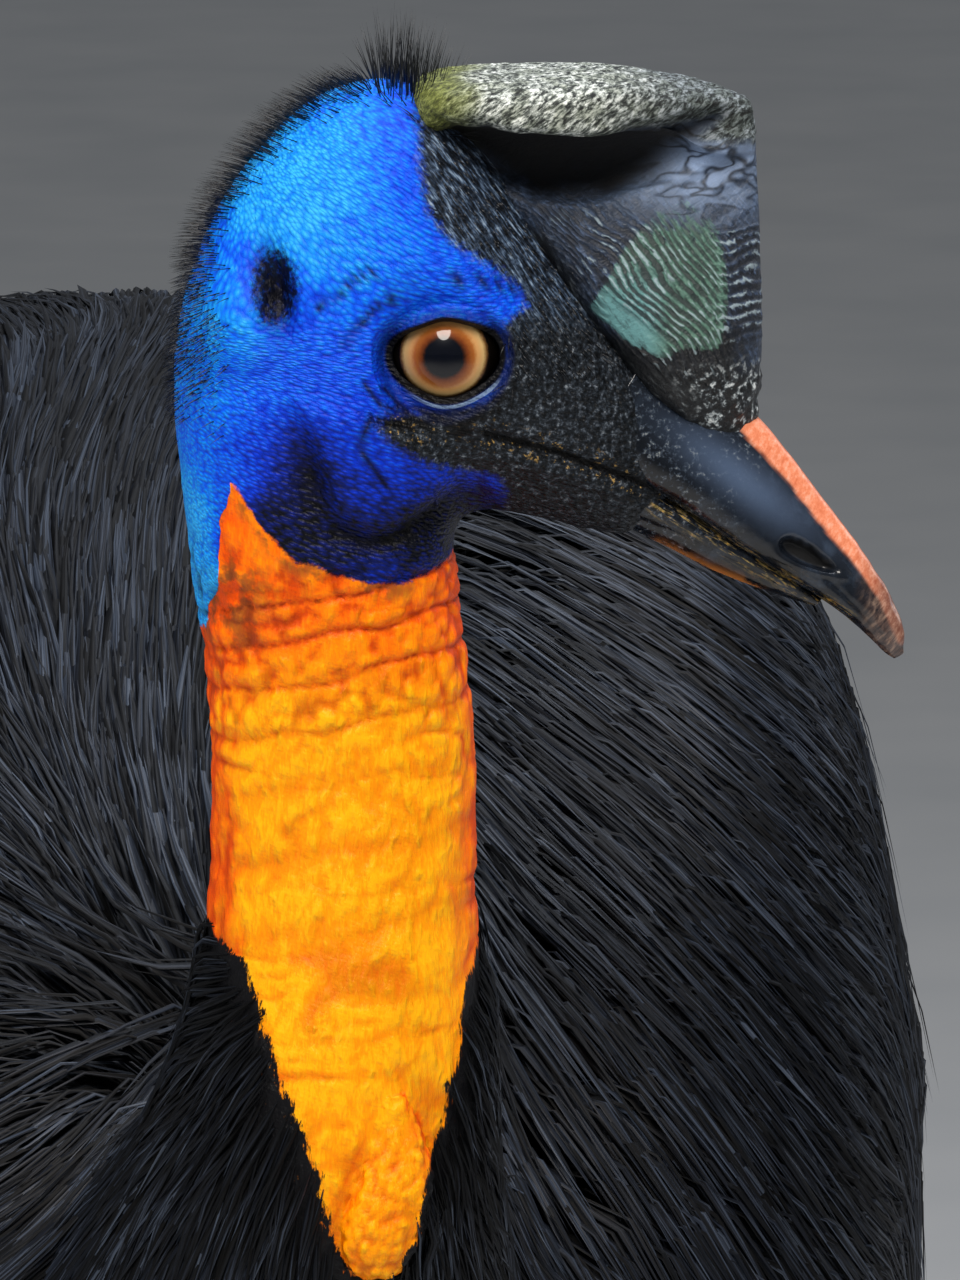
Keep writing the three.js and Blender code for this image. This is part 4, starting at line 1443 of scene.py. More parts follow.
crumpled = add(MATH, {0: add(MATH, {0: crumpled, 1: 0.5}, **LESS)}, operation="ABSOLUTE")
crumpled = add(RANGE, {0: crumpled, 1: 0.0, 2: 0.1}, **EVEN)

# Millimetres between the crests of ridges: on the side, on its lower half, and down the front
SIDE_RIDGES, LOW_RIDGES, FRONT_RIDGES = 2.9, 1.7, 2.7
crests_of = []
for zone, spacings in (("fan", (SIDE_RIDGES, LOW_RIDGES)), ("front", (FRONT_RIDGES,))):
    turn = add(MATH, {0: streaks, 1: 2.6, 2: stored[zone + "_phase"]}, **TIMES_PLUS)
    turn = add(MATH, {0: turn, 1: adrift}, **PLUS)
    turns = [add(MATH, {0: turn, 1: 2 * math.pi / spacing}, **TIMES) for spacing in spacings]
    waves = [add(MATH, {0: angle}, operation="COSINE") for angle in turns]
    wave = waves[0]
    if zone == "fan":
        wave = add(MIX, {0: stored["fine_ridges"], 2: waves[0], 3: waves[1]}, data_type="FLOAT")
    wave = add(RANGE, {0: wave, 1: -0.55, 2: 1.0}, interpolation_type="LINEAR")
    wave = add(MATH, {0: wave, 1: worn}, **TIMES)
    crests_of.append(add(MATH, {0: wave, 1: stored[zone]}, **TIMES))
ridge = add(MATH, {0: crests_of[0], 1: crests_of[1]}, **HIGHER)

# %% Colours of the casque
horn = add(RAMP, {0: streaks}, stops=[(0.3, "#0c121d"), (0.5, "#212d40"), (0.68, "#4c6080")])
# Bright blue-white squiggles on dark horn, painted as the sky's reflection on the front corner
sky_squiggles = paint(add, "#131d2e", [(crumpled, "#8ea5c9")])
stain = paint(add, "#557a6b", [(stored["teal"], "#669a9c")])
share = add(RANGE, {0: streaks, 1: 0.36, 2: 0.5, 3: 0.5, 4: 0.92}, **EVEN)
frayed = add(MATH, {0: streaks, 1: 0.9, 2: stored["stain"]}, **TIMES_PLUS)
frayed = add(RANGE, {0: frayed, 1: 0.85, 2: 1.05}, **EVEN)
share = add(MATH, {0: frayed, 1: share}, **TIMES)
# Painted shade in the troughs between the ridges, and a painted highlight on their crests
trough_shade = add(RANGE, {0: ridge, 1: 0.4, 2: 0.0, 4: 0.9}, **EVEN)
ridged = add(MATH, {0: stored["fan"], 1: stored["front"]}, **HIGHER)
trough_shade = add(MATH, {0: trough_shade, 1: ridged}, **TIMES)
crest_highlight = add(RANGE, {0: ridge, 1: 0.5, 2: 1.0, 4: 0.7}, **EVEN)

chalk = add(RAMP, {0: flaky}, stops=[
    (0.38, "#101314"), (0.45, "#474d49"), (0.51, "#8b928c"), (0.57, "#c3c9c4"), (0.66, "#f1f3f0")])
patchy = add(RANGE, {0: worn, 1: 0.9, 2: 0.5, 4: 0.55}, **EVEN)
dulled = [(patchy, "#6f7a5c"), (stored["front_top"], "#69788c")]
chalk = paint(add, chalk, dulled, blend_type="MULTIPLY")
moss = add(RAMP, {0: flaky}, stops=[
    (0.36, "#262910"), (0.5, "#5c632a"), (0.62, "#868e4e"), (0.74, "#b0b78e")])
knobs = add(RAMP, {0: crumbs}, stops=[
    (0.46, "#07090b"), (0.54, "#2b3136"), (0.6, "#8f989c"), (0.68, "#d3d9da")])
# Light streaks on the black skin below the horn are painted highlights on its bristles
bristle_glints = add(RAMP, {0: streaks}, stops=[
    (0.4, "#06070a"), (0.55, "#15181b"), (0.66, "#4d5255"), (0.78, "#8d9294")])
# The hollow under the rim is painted nearly black, as its shade
colour = paint(add, horn, [
    (stored["grey"], "#55667d"), (stored["sky"], sky_squiggles), (stored["low_side"], "#070a0e"),
    (share, stain), (trough_shade, "#080d16"), (crest_highlight, "#9fb2bb"), (stored["plate"], chalk),
    (stored["algae"], moss), (stored["knobs"], knobs), (stored["under_horn"], bristle_glints),
    (stored["shaded_hollow"], "#000001")])
rough = add(MATH, {0: stored["plate"], 1: 0.34, 2: 0.26}, **TIMES_PLUS)
rough = add(MATH, {0: stored["shaded_hollow"], 1: 0.4, 2: rough}, **TIMES_PLUS)
rough = add(MATH, {0: streaks, 1: 0.2, 2: rough}, **TIMES_PLUS)
height = add(MATH, {0: flaky, 1: 1.3}, **TIMES)
height = add(MATH, {0: ridge, 1: 1.5, 2: height}, **TIMES_PLUS)
relief = add(BUMP, {"Height": height, "Distance": 0.5 * MM, "Strength": 0.9})
plug_in(Base_Color=colour, Roughness=rough, Normal=relief)
dress(casque_look, casque)

# %% Marks on the bill
LIP_LINE = [(52, -40), (66.5, -48.4), (76.5, -55), (87.6, -61.6), (97, -68)]
LOW_LINE = [(52, -51), (64, -57), (75, -61.5)]


def bill_marks(local, upper):
    """The values that the bill's material reads, for each point, by name."""
    x, y, z = local.T
    from_stripe = line_distance(x, z, CULMEN_LINE) - culmen_wide(x) + 0.4 * noise(local, 3, 81)
    return {
        "root": 0.6 * ease(100, 74, x - 0.5 * z + 5 * noise(local, 7, 83)),
        # A painted highlight: blue-grey sky light on the upper half between the ridge and the nostril
        "painted_highlight": 0.8 * bump(np.hypot((x - 72) / 15, (z + 33 + 0.75 * (x - 72)) / 6), 1) * upper,
        "culmen": ease(0.5, -0.5, from_stripe) * ease(64, 67.5, x - 0.4 * z) * upper,
        "hook": 0.8 * ease(99, 109, x + 0.8 * noise(local, 4, 82)),
        "lip": bump(line_distance(x, z, LIP_LINE), 2.2),
        "low_edge": bump(line_distance(x, z, LOW_LINE), 1.9) * (1 - upper),
        # The nostril's hole, painted nearly black as its shade
        "nostril": 0.96 * ease(1.02, 0.72, nostril_reach(x, z)) * upper,
    }


for piece, upper in ((bill_upper, 1), (bill_lower, 0)):
    bill_values = bill_marks(to_head(points_of(piece)), upper)
    write_values(piece, bill_values)
print("marked the bill with", len(bill_values), "values")

# %% Bill material
bill_look, add, plug_in = new_material(
    "polished_bill_horn", Roughness=0.2, IOR=1.54, Specular_IOR_Level=0.32, Coat_Weight=0.2,
    Coat_Roughness=0.12)
stored = read_values(add, bill_values)
mm = in_mm(add)
cloud = add(NOISE, {"Vector": mm, "Scale": 0.14, "Detail": 4.0, "Roughness": 0.62})
flecks = add(NOISE, {"Vector": mm, "Scale": 0.75, "Detail": 3.0, "Roughness": 0.62})
along_lip = aslant(add, mm, -34, (0.22, 1, 1.9))
drawn = add(NOISE, {"Vector": along_lip, "Scale": 0.7, "Detail": 3.0, "Roughness": 0.65})
along_ridge = aslant(add, mm, 48, (0.3, 1, 1.5))
slanted = add(NOISE, {"Vector": along_ridge, "Scale": 0.5, "Detail": 4.0, "Roughness": 0.7})
base = add(RAMP, {0: cloud}, stops=[(0.3, "#05070b"), (0.52, "#10151d"), (0.72, "#2a3442")])
specks = add(RAMP, {0: flecks}, stops=[(0.52, "#080b10"), (0.61, "#38424f"), (0.71, "#959c9e")])
coral = add(RAMP, {0: slanted}, stops=[(0.3, "#c96a47"), (0.5, "#db8460"), (0.7, "#e9a68c")])
tip = add(RAMP, {0: slanted}, stops=[(0.32, "#1f1b1e"), (0.5, "#5c4a44"), (0.68, "#9c8271")])
gilt = add(RAMP, {0: flecks}, stops=[(0.4, "#5d512f"), (0.56, "#a08b54"), (0.66, "#c9973c")])
gold = add(RANGE, {0: drawn, 1: 0.5, 2: 0.62, 4: 0.9}, **EVEN)
gold = add(MATH, {0: gold, 1: stored["lip"]}, **TIMES)
amber = add(RANGE, {0: cloud, 1: 0.35, 2: 0.5}, **EVEN)
amber = add(MATH, {0: amber, 1: stored["low_edge"]}, **TIMES)
# Last, the nostril's hole is painted nearly black as its shade
colour = paint(add, base, [
    (stored["root"], specks), (stored["painted_highlight"], "#4a5b76"), (stored["culmen"], coral),
    (stored["hook"], tip), (gold, gilt), (amber, "#c9803a"), (stored["nostril"], "#020203")])
rough = add(MATH, {0: flecks, 1: 0.18, 2: 0.12}, **TIMES_PLUS)
rough = add(MATH, {0: stored["nostril"], 1: 0.6, 2: rough}, **TIMES_PLUS)
height = add(MATH, {0: flecks, 1: 0.5, 2: cloud}, **TIMES_PLUS)
relief = add(BUMP, {"Height": height, "Distance": 0.3 * MM, "Strength": 0.5})
plug_in(Base_Color=colour, Roughness=rough, Normal=relief)
dress(bill_look, bill_upper, bill_lower)

# %% Eye material
# A wet, clear cornea over the iris, drawn as one surface under a clear coat
IRIS_RADIUS = 12.35
eye_look, add, plug_in = new_material(
    "wet_amber_iris", Roughness=0.35, IOR=1.376, Specular_IOR_Level=0.1, Coat_Weight=0.7,
    Coat_Roughness=0.02)
from_axis = add(STORED, attribute_name="from_axis", out="Fac")
fibre = add(NOISE, {"Vector": in_mm(add), "Scale": 1.3, "Detail": 3.0})
reach = add(MATH, {0: fibre, 1: 0.7, 2: from_axis}, **TIMES_PLUS)
reach = add(MATH, {0: reach, 1: IRIS_RADIUS}, operation="DIVIDE")
plug_in(Base_Color=add(RAMP, {0: reach}, stops=[
    (0, "#00020c"), (0.395, "#01030c"), (0.425, "#2c1206"), (0.5, "#6e3410"), (0.61, "#985823"),
    (0.69, "#c49159"), (0.8, "#c4a36c"), (0.86, "#6b4c28"), (0.9, "#0a0705")]))
dress(eye_look, *eyes.values())

# %% [markdown]
# ## The plumage
# Cassowary feathers have no hooks to hold their barbs together, so they hang like coarse hair
# down to the tips. Each lock here is a closed three-sided strand that starts on the skin, rises to
# the bird's outline and lies along it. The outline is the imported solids' own, melted together and
# smoothed. Strands are grown in small groups round one guide and draw together towards the tip,
# which is what makes hair part into locks.

# %% The outline that the plumage fills
COAT_NODES = ["neck_upper", "neck_middle", "neck_lower", "breast", "trunk", "tail"]
COAT_NODES += ["thigh_right", "thigh_left", "wing_right", "wing_left"]


def melted(name, nodes, voxel, rounds):
    """One smooth closed surface round the solids of these nodes."""
    points, faces = [], []
    for node in nodes:
        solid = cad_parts[node]
        first = sum(map(len, points))
        points.append(points_of(solid))
        faces += [[first + v for v in face.vertices] for face in solid.data.polygons]
    obj = make_mesh(name, np.vstack(points), faces)
    edit_mesh(obj, lambda work: bmesh.ops.remove_doubles(work, verts=work.verts, dist=1e-6))
    return remeshed(obj, voxel, rounds)


class Surface:
    """A mesh to walk on: the nearest point to any place, with a smooth normal."""

    def __init__(self, obj):
        self.points, self.normals = points_of(obj), normals_of(obj)
        self.faces = [list(face.vertices) for face in obj.data.polygons]
        self.tree = BVHTree.FromPolygons(self.points.tolist(), self.faces)
        self.face_normals = unit(np.array([self.normals[f].mean(0) for f in self.faces]))

    def nearest(self, places):
        hits = [self.tree.find_nearest(p) for p in np.asarray(places).tolist()]
        return np.array([hit[0] for hit in hits]), self.face_normals[[hit[2] for hit in hits]]

    def under(self, places):
        """The nearest points, the normals there, and how far the places stand above them."""
        found, way = self.nearest(places)
        return found, way, ((places - found) * way).sum(1)


def level_with(way, normals):
    """The part of each direction that runs along the surface."""
    return way - (way * normals).sum(1)[:, None] * normals


outline = melted("plumage_outline", COAT_NODES, 8, 14)
outer = Surface(outline)
inner = Surface(skin)
print("outline of", len(outer.faces), "faces")

# %% The lie in front
# The lie on the front of the body, as bearings in degrees, clockwise from the bird's left when
# one stands in front of it. It fans out from the side of the neck, like water from a fountain.
FRONT_X = np.array([-144, -128, -112, -96, -77, -6, 13, 58, 106, 138])
FRONT_Z = np.array([102, 51, 0, -51, -77, -102, -154, -205])
FRONT_LIE = [
    # each row is a height, from the top of the back down
    [-124, -112, -100, -80, -60, 8, 12, 24, 42, 60],
    [-131, -105, -86, -78, -70, 14, 18, 28, 46, 60],
    [-140, -129, -105, -81, -85, 40, 32, 33, 46, 58],
    [-172, -158, -143, -118, -105, 66, 42, 44, 44, 66],
    [-188, -175, -163, -158, -165, 78, 46, 43, 47, 66],
    [-210, -202, -200, -214, -228, 84, 56, 48, 50, 70],
    [-234, -219, -221, -237, -248, 84, 60, 60, 46, 60],
    [-252, -238, -242, -252, -263, 84, 62, 55, 48, 55],
]


print("bearings at", np.shape(FRONT_LIE), "places")

# %% Which way the plumage lies
VIEW_HALF = (154, 205)  # half the picture's width and height, in millimetres at the eye

def view_place(points):
    """Where points lie across the front view and up it, in millimetres from its middle."""
    offset = (points - VIEW_FROM) @ VIEW_AXES.T
    return (offset[:, :2] * (VIEW_DISTANCE / offset[:, 2])[:, None]).T


def outside_view(points):
    """How far points lie outside the front view's frame; negative inside it."""
    across, up = view_place(points)
    return np.maximum(np.abs(across) - VIEW_HALF[0], np.abs(up) - VIEW_HALF[1])


def front_lie(points, normals):
    """The lie on the front of the body, and how far it holds at each point."""
    across, up = view_place(points)
    i = np.clip(np.interp(-up, -FRONT_Z, np.arange(8)), 0, 6.999)
    j = np.clip(np.interp(across, FRONT_X, np.arange(10)), 0, 8.999)
    bearing = np.radians(FRONT_LIE)
    flat = np.zeros((len(points), 2))
    for di, dj in product((0, 1), (0, 1)):
        share = np.abs(1 - di - i % 1) * np.abs(1 - dj - j % 1)
        angle = bearing[i.astype(int) + di, j.astype(int) + dj]
        flat += share[:, None] * np.stack([np.cos(angle), -np.sin(angle)], 1)
    flat = unit(flat)
    seen = normals @ VIEW_AXES.T
    away = np.clip(-(flat * seen[:, :2]).sum(1) / np.minimum(seen[:, 2], -0.05), -0.9, 3)
    way = flat @ VIEW_AXES[:2] + away[:, None] * VIEW_AXES[2]
    return way, ease(0.12, 0.32, -seen[:, 2]) * ease(70, 10, outside_view(points))


def lie(points, normals, jitter):
    """The way a strand runs at each point: outwards from the middle of the back, back and down."""
    x, y, z = (points - HIPS).T
    up = normals[:, 2]
    chest = ease(-300, -430, y)
    side = np.tanh((x - 14 * chest) / 42)
    wide = ease(25, 130, np.abs(x))
    spine = ease(0.25, 0.9, up) * (1 - 0.6 * wide)
    under = ease(0.0, -0.8, up)
    out = side * (0.85 - 0.35 * spine) * (1 - under)
    back = 0.15 + 0.35 * ease(-330, -100, y) + 0.95 * spine + 0.8 * under
    down = (0.45 + 1.05 * wide + 0.5 * ease(900, 780, z)) * (1 - 0.55 * spine)
    thigh = ease(560, 470, z)
    out, back, down = out * (1 - thigh), back * (1 - 0.7 * thigh), down + 0.6 * thigh
    way = unit(level_with(np.stack([out, back, -down], 1), normals))
    front, holds = front_lie(points, normals)
    front = unit(level_with(front, normals))
    way = unit(level_with(way + (front - way) * holds[:, None], normals))
    swing = 0.1 * noise(points, 90, 91) + 0.05 * noise(points, 30, 92) + jitter
    across = np.cross(normals, way)
    return unit(way * np.cos(swing)[:, None] + across * np.sin(swing)[:, None])


print("the right eye in the view:", view_place(EYE_RIGHT[None]).round(1).ravel())

# %% Walks over the outline
HANGING = 1.5 * np.array([0, 0.2, -1.0])  # how strongly a strand that leaves the hem turns down


def walk(surface, starts, lengths, jitter, steps):
    """Paths over a surface from each start, as (step, path, 3), with the normals there."""
    at, normal = surface.nearest(starts)
    path, normals = [at], [normal]
    free, hangs = ease(-0.5, -0.2, normal[:, 2]), np.zeros(len(at))
    for _ in range(steps):
        step = lie(at, normal, jitter) * (lengths / steps)[:, None]
        near, near_normal = surface.nearest(at + step)
        # At the hem a strand leaves the surface, which turns under the body, and hangs down
        hangs = np.maximum(hangs, free * ease(-0.1, -0.5, near_normal[:, 2]))
        drop = unit(unit(step) + HANGING) * (lengths / steps)[:, None]
        at = near + (at + drop - near) * hangs[:, None]
        normal = unit(near_normal + (normal - near_normal) * hangs[:, None])
        path.append(at)
        normals.append(normal)
    return np.array(path), np.array(normals)


def clear_of_skin(places, least):
    """Moves points out until they are at least so far above the skin; gives their height too."""
    _, way, height = inner.under(places)
    return places + way * np.maximum(least - height, 0)[:, None], np.maximum(height, least)


def scatter(surface, spacing, seed, low=-9999, high=9999, front=9999):
    """Points about spacing apart over a surface between two heights, with the normals there."""
    luck = np.random.default_rng(seed)
    corner = [np.array([surface.points[f[i]] for f in surface.faces]) for i in (0, 1, 2, -1)]
    wanted = (corner[0][:, 2] > low) & (corner[0][:, 2] < high) & (corner[0][:, 1] < front)
    corner = [c[wanted] for c in corner]
    area = np.linalg.norm(np.cross(corner[2] - corner[0], corner[3] - corner[1]), axis=1) / 2
    count = int(area.sum() / spacing**2 * 5)
    face = luck.choice(len(area), count, p=area / area.sum())
    u, v = luck.random((2, count, 1))
    points = (corner[0][face] * (1 - u) + corner[1][face] * u) * (1 - v)
    points += (corner[3][face] * (1 - u) + corner[2][face] * u) * v
    _, first = np.unique(np.floor(points / spacing + 0.37).astype(int), axis=0, return_index=True)
    points = points[np.sort(first)]
    return points, surface.nearest(points)[1]


print("a strand that hangs turns by", HANGING, "at each step")


# %% Roots of the plumage
def in_picture(points, normals):
    """1 for points that the camera sees, 0 from 70 mm outside its frame."""
    return ease(70, 5, outside_view(points)) * ease(-0.35, -0.05, -(normals @ VIEW_AXES[2]))


FINE, COARSE = ((7.7, 21.3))  # mm between the guides of neighbouring locks
COVER = 3.0  # the least depth of plumage, which is also its depth where it lies on the skin
STRANDS = 5
SEGMENTS = 4
WALK_STEPS = 6
WIDE, SEEN, PARTING = 0, 1, 2  # the kinds of guide

roots, root_normals = scatter(outer, FINE, 101)
roots = roots[in_picture(roots, root_normals) > 0.5]
wide_roots, wide_normals = scatter(outer, COARSE, 102)
wide_roots = wide_roots[in_picture(wide_roots, wide_normals) <= 0.5]
kinds = np.repeat([SEEN, WIDE], [len(roots), len(wide_roots)])
roots = np.vstack([roots, wide_roots])
skin_at, _, depth = inner.under(roots)
x, y, z = (roots - HIPS).T
keep = (bare_skin(skin_at) < 0.5) & (z < 985 + 40 * (y > -395)) & (depth > COVER)
keep &= roots[:, 2] >= 392 + 10 * noise(roots, 20, 93)

# Round the foot of the neck the coat is so short that it starts and lies on the skin itself
low_roots, _ = scatter(inner, FINE * 0.6, 103, HIPS[2] + 820, HIPS[2] + 980, HIPS[1] - 330)
hemmed = np.random.default_rng(12).uniform(0.3, 0.97, len(low_roots))
low_roots = low_roots[(bare_skin(low_roots) < hemmed) & (outer.under(low_roots)[2] > -5)]

# Where the plumage parts beside the neck no lock lies over the roots, so thin ones fill it
part_roots, part_normals = scatter(outer, FINE * 0.6, 104, HIPS[2] + 720, HIPS[2] + 950, HIPS[1] - 150)
across, up = view_place(part_roots)
within = (np.hypot((across + 120) / 62, (up + 102) / 64) < 1) & (part_normals @ VIEW_AXES[2] < 0)
part_roots = part_roots[within]
part_skin, _, part_depth = inner.under(part_roots)
deep = (bare_skin(part_skin) < 0.5) & (part_depth > COVER)

roots = np.vstack([roots[keep], part_roots[deep], low_roots])
kinds = np.append(kinds[keep], np.repeat([PARTING, SEEN], [deep.sum(), len(low_roots)]))
skin_at = np.vstack([skin_at[keep], part_skin[deep], low_roots])
on_skin = np.arange(len(roots)) >= len(roots) - len(low_roots)
print(len(roots), "guides,", (kinds > WIDE).sum(), "in the picture,", deep.sum(), "in the parting")
print(len(low_roots), "guides start on the skin")

# %% Guides
def edge_distance(points):
    """About how far a point of the plumage is from the bare skin, in millimetres."""
    x, y, z = (points - HIPS).T
    left, right = throat_sides(z)
    beside = np.hypot(np.maximum(np.maximum(left - x, x - right), 0), np.maximum(y + 415, 0))
    beside = np.hypot(beside, np.maximum(874 - z, 0))
    top = np.maximum(962 - z, 0) + np.maximum(np.hypot(x - 20, y + 424) - 40, 0)
    return np.minimum(beside, top)


luck = np.random.default_rng(11)
edge = edge_distance(roots)
x, y, z = (roots - HIPS).T
thigh = ease(560, 470, z)
lengths = 30 + 56 * ease(0, 80, edge) + 42 * ease(80, 260, edge)
lengths += 22 * ease(150, 450, y)
lengths = lengths * (1 - thigh) + (46 + 22 * ease(400, 520, z)) * thigh
lengths *= 1 + 0.16 * luck.uniform(-1, 1, len(roots)) + 0.12 * noise(roots, 60, 94)
lengths *= np.where(kinds > WIDE, 1, 1.25)
jitter = luck.normal(0, 0.022, len(roots))
walks = [
    walk(surface, roots[mine], lengths[mine], jitter[mine], WALK_STEPS)
    for surface, mine in ((outer, ~on_skin), (inner, on_skin))
]
path, path_normals = [np.concatenate(pair, 1) for pair in zip(*walks)]
lifted = [clear_of_skin(places, COVER) for places in path]
path = np.array([places for places, _ in lifted])
depth = lifted[0][1]
print("walked", path.shape)

# %% Strands
t = np.linspace(0, 1, SEGMENTS + 1)


def read_path(values, places):
    """Values of (step, path, 3) read at fractional steps (path, k)."""
    i = np.clip(np.floor(places).astype(int), 0, len(values) - 2)
    f = (places - i)[..., None]
    rows = np.arange(values.shape[1])[:, None]
    return values[i, rows] * (1 - f) + values[i + 1, rows] * f


def grow_strands(chosen, vanes, width, spread, seed):
    """Strands round the chosen guides, the first of them vanes, with all that their mesh needs."""
    luck = np.random.default_rng(seed)
    path_c, normals_c = path[:, chosen], path_normals[:, chosen]
    guide_depth = np.clip(depth[chosen], 1.5, 42)
    short = edge[chosen]
    lock = luck.random(len(chosen))
    grown = []
    for k in range(STRANDS):
        n = len(chosen)
        vane = k < vanes
        share = luck.uniform(0.74, 1.0, n) if k else np.ones(n)
        start = luck.uniform(0, 0.16, n)
        places = (start[:, None] + (share - start)[:, None] * t[None]) * WALK_STEPS
        middle, normal = read_path(path_c, places), unit(read_path(normals_c, places))
        way = unit(np.gradient(middle, axis=1))
        side = unit(np.cross(way, normal))
        along = places / WALK_STEPS
        off = luck.uniform(-1, 1, n) * spread * np.where(short < 25, 0.7, 1)
        draw = 1 - 0.6 * ease(0.1, 1, along)
        bend = luck.normal(0, 0.8, (n, 1))
        bend = bend * np.sin(along * luck.uniform(2, 4, (n, 1)) + luck.uniform(0, 6, (n, 1)))
        middle = middle + side * ((off[:, None] * draw) + bend * along)[..., None]
        under = guide_depth[:, None] * (1 - ease(0, 0.5, along)) ** 1.3
        layer = luck.uniform(0, 1, n) ** 1.5 * np.clip(guide_depth * 0.16, 0.8, 4) + (1.2 if vane else 0)
        stray = np.where(luck.random(n) < 0.04, luck.uniform(1.5, 5, n), 0)
        lift = stray[:, None] * ease(0.4, 1, along)
        rise = 0.8 * ease(22, 6, guide_depth)[:, None] * ease(0, 0.35, along)
        middle = middle - normal * (under + layer[:, None] * ease(0, 0.4, along) - lift - rise)[..., None]
        broad = 1 + 1.1 * ease(15, 60, short) if vane else 1
        w = width * luck.uniform(0.7, 1.25, n) * (0.5 + 0.5 * ease(0, 40, short)) * broad
        thin = 0.28 + 0.34 * ease(5, 30, short)[:, None]
        taper = (thin + (1 - thin) * ease(0, 0.3, t)[None]) * (1 - t[None] ** 2.0) ** 0.9
        half = w[:, None] * taper / 2
        lean = luck.normal(0, 0.42, (n, 1, 1)) * side
        ring = np.stack([
            middle - side * half[..., None],
            middle + normal * (half * (0.35 if vane else 0.7))[..., None],
            middle + side * half[..., None],
        ], 2)
        soft = np.stack([normal + lean - 0.95 * side, normal + lean, normal + lean + 0.95 * side], 2)
        tone = 0.55 * luck.random(n) + 0.45 * lock
        grown.append((ring[:, :-1], middle[:, -1], tone, w, soft[:, :-1], normal[:, -1], chosen))
    return [np.concatenate(values) for values in zip(*grown)]


print("rings of a strand at", t)


# %% Patches for baking
def root_place(points):
    """Where a root lies on the skin unrolled: the trunk above, and the two thighs below."""
    x, y, z = (points - HIPS).T
    middle_z = np.interp(y, [-448, -305, 70, 320, 552], [760, 745, 752, 716, 560])
    round_body = np.arctan2(x, z - middle_z) / (2 * np.pi) + 0.5
    u, v = 0.01 + 0.98 * round_body, 0.31 + 0.67 * np.clip((y + 480) / 1040, 0, 1)
    leg = z < 520
    middle_x, middle_y = np.sign(x) * 98, np.interp(z, [370, 640], [118, 8])
    round_leg = np.arctan2(x - middle_x, y - middle_y) / (2 * np.pi) + 0.5
    u = np.where(leg, 0.01 + 0.47 * round_leg + 0.5 * (x > 0), u)
    v = np.where(leg, 0.012 + 0.27 * np.clip((z - 360) / 160, 0, 1), v)
    return np.stack([u, v], 1)


def place_patches(mesh, places, across, along):
    """The UV map for baking: a small patch for each strand, at its root's place."""
    loops = np.empty(len(mesh.loops), np.int32)
    mesh.loops.foreach_get("vertex_index", loops)
    patch = places[:, None] + 0.003 * (np.stack([across, along], 1) - 0.5)[None]
    flat = np.clip(patch, 0.0005, 0.9995).reshape(-1, 2)[loops].astype(np.float32)
    mesh.uv_layers.new(name="OFBake").data.foreach_set("uv", flat.ravel())


print("the first root's patch is at", root_place(skin_at[:1]).round(3))


# %% Meshes of strands
def strand_mesh(name, ring, tips, tones, widths, soft, soft_tips, places):
    """One mesh of closed three-sided strands, with a small patch of the unrolled skin each."""
    n, count = ring.shape[:2]
    points = np.concatenate([ring.reshape(n, count * 3, 3), tips[:, None]], 1)
    per = count * 3 + 1
    quads = [
        [i * 3 + j, i * 3 + (j + 1) % 3, i * 3 + 3 + (j + 1) % 3, i * 3 + 3 + j]
        for i, j in product(range(count - 1), range(3))
    ]
    last = (count - 1) * 3
    fans = [[last, last + 1, per - 1], [last + 1, last + 2, per - 1], [last + 2, last, per - 1], [2, 1, 0]]
    base = np.arange(n)[:, None, None] * per
    quad_loops, fan_loops = (base + np.array(quads)).ravel(), (base + np.array(fans)).ravel()
    mesh = bpy.data.meshes.new(name)
    mesh.vertices.add(n * per)
    mesh.vertices.foreach_set("co", (points * MM).astype(np.float32).ravel())
    loops = np.concatenate([quad_loops, fan_loops]).astype(np.int32)
    mesh.loops.add(len(loops))
    mesh.loops.foreach_set("vertex_index", loops)
    starts = [np.arange(0, len(quad_loops), 4), np.arange(len(quad_loops), len(loops), 3)]
    starts = np.concatenate(starts).astype(np.int32)
    mesh.polygons.add(len(starts))
    mesh.polygons.foreach_set("loop_start", starts)
    mesh.update(calc_edges=True)
    mesh.shade_smooth()
    along = np.append(np.repeat(np.arange(count) / count, 3), 1.0)
    across = np.append(np.tile([0, 0.5, 1], count), 0.5)
    place_patches(mesh, places, across, along)
    obj = bpy.data.objects.new(name, mesh)
    bpy.context.scene.collection.objects.link(obj)
    write_values(obj, {
        "strand_along": np.tile(along, n),
        "strand_across": (widths[:, None] / HAIR * across).ravel(),
        "strand_tone": np.repeat(tones, per),
    })
    mesh.validate()
    # Normals turned towards the outline's own, so that a lock takes the light as one soft mass
    softened = unit(np.concatenate([soft.reshape(n, count * 3, 3), soft_tips[:, None]], 1).reshape(-1, 3))
    mesh.normals_split_custom_set_from_vertices(softened.tolist())
    return obj


HAIR = 0.5  # millimetres across one hair of a strand
PIECE_LIMIT = 190000  # triangles
STRAND_TRIANGLES = (SEGMENTS - 1) * 6 + 4
STRAND_KINDS = [
    # kind of guide, how many of its strands are vanes, width, spread round the guide, seed
    (SEEN, 2, 1.9, 5.0, 21),
    (WIDE, 2, 4.0, 12.0, 22),
    (PARTING, 0, 1.5, 4.0, 23),
]
parts = [grow_strands(np.flatnonzero(kinds == kind), *rest) for kind, *rest in STRAND_KINDS]
*grown, guides = [np.concatenate(pair) for pair in zip(*parts)]
grown.append(root_place(skin_at)[guides])
all_triangles = len(guides) * STRAND_TRIANGLES
pieces_needed = math.ceil(all_triangles / PIECE_LIMIT)
plumage = [
    strand_mesh(f"plumage_{k + 1}", *[values[k::pieces_needed] for values in grown])
    for k in range(pieces_needed)
]
print(len(guides), "strands,", all_triangles, "triangles in", pieces_needed, "pieces")

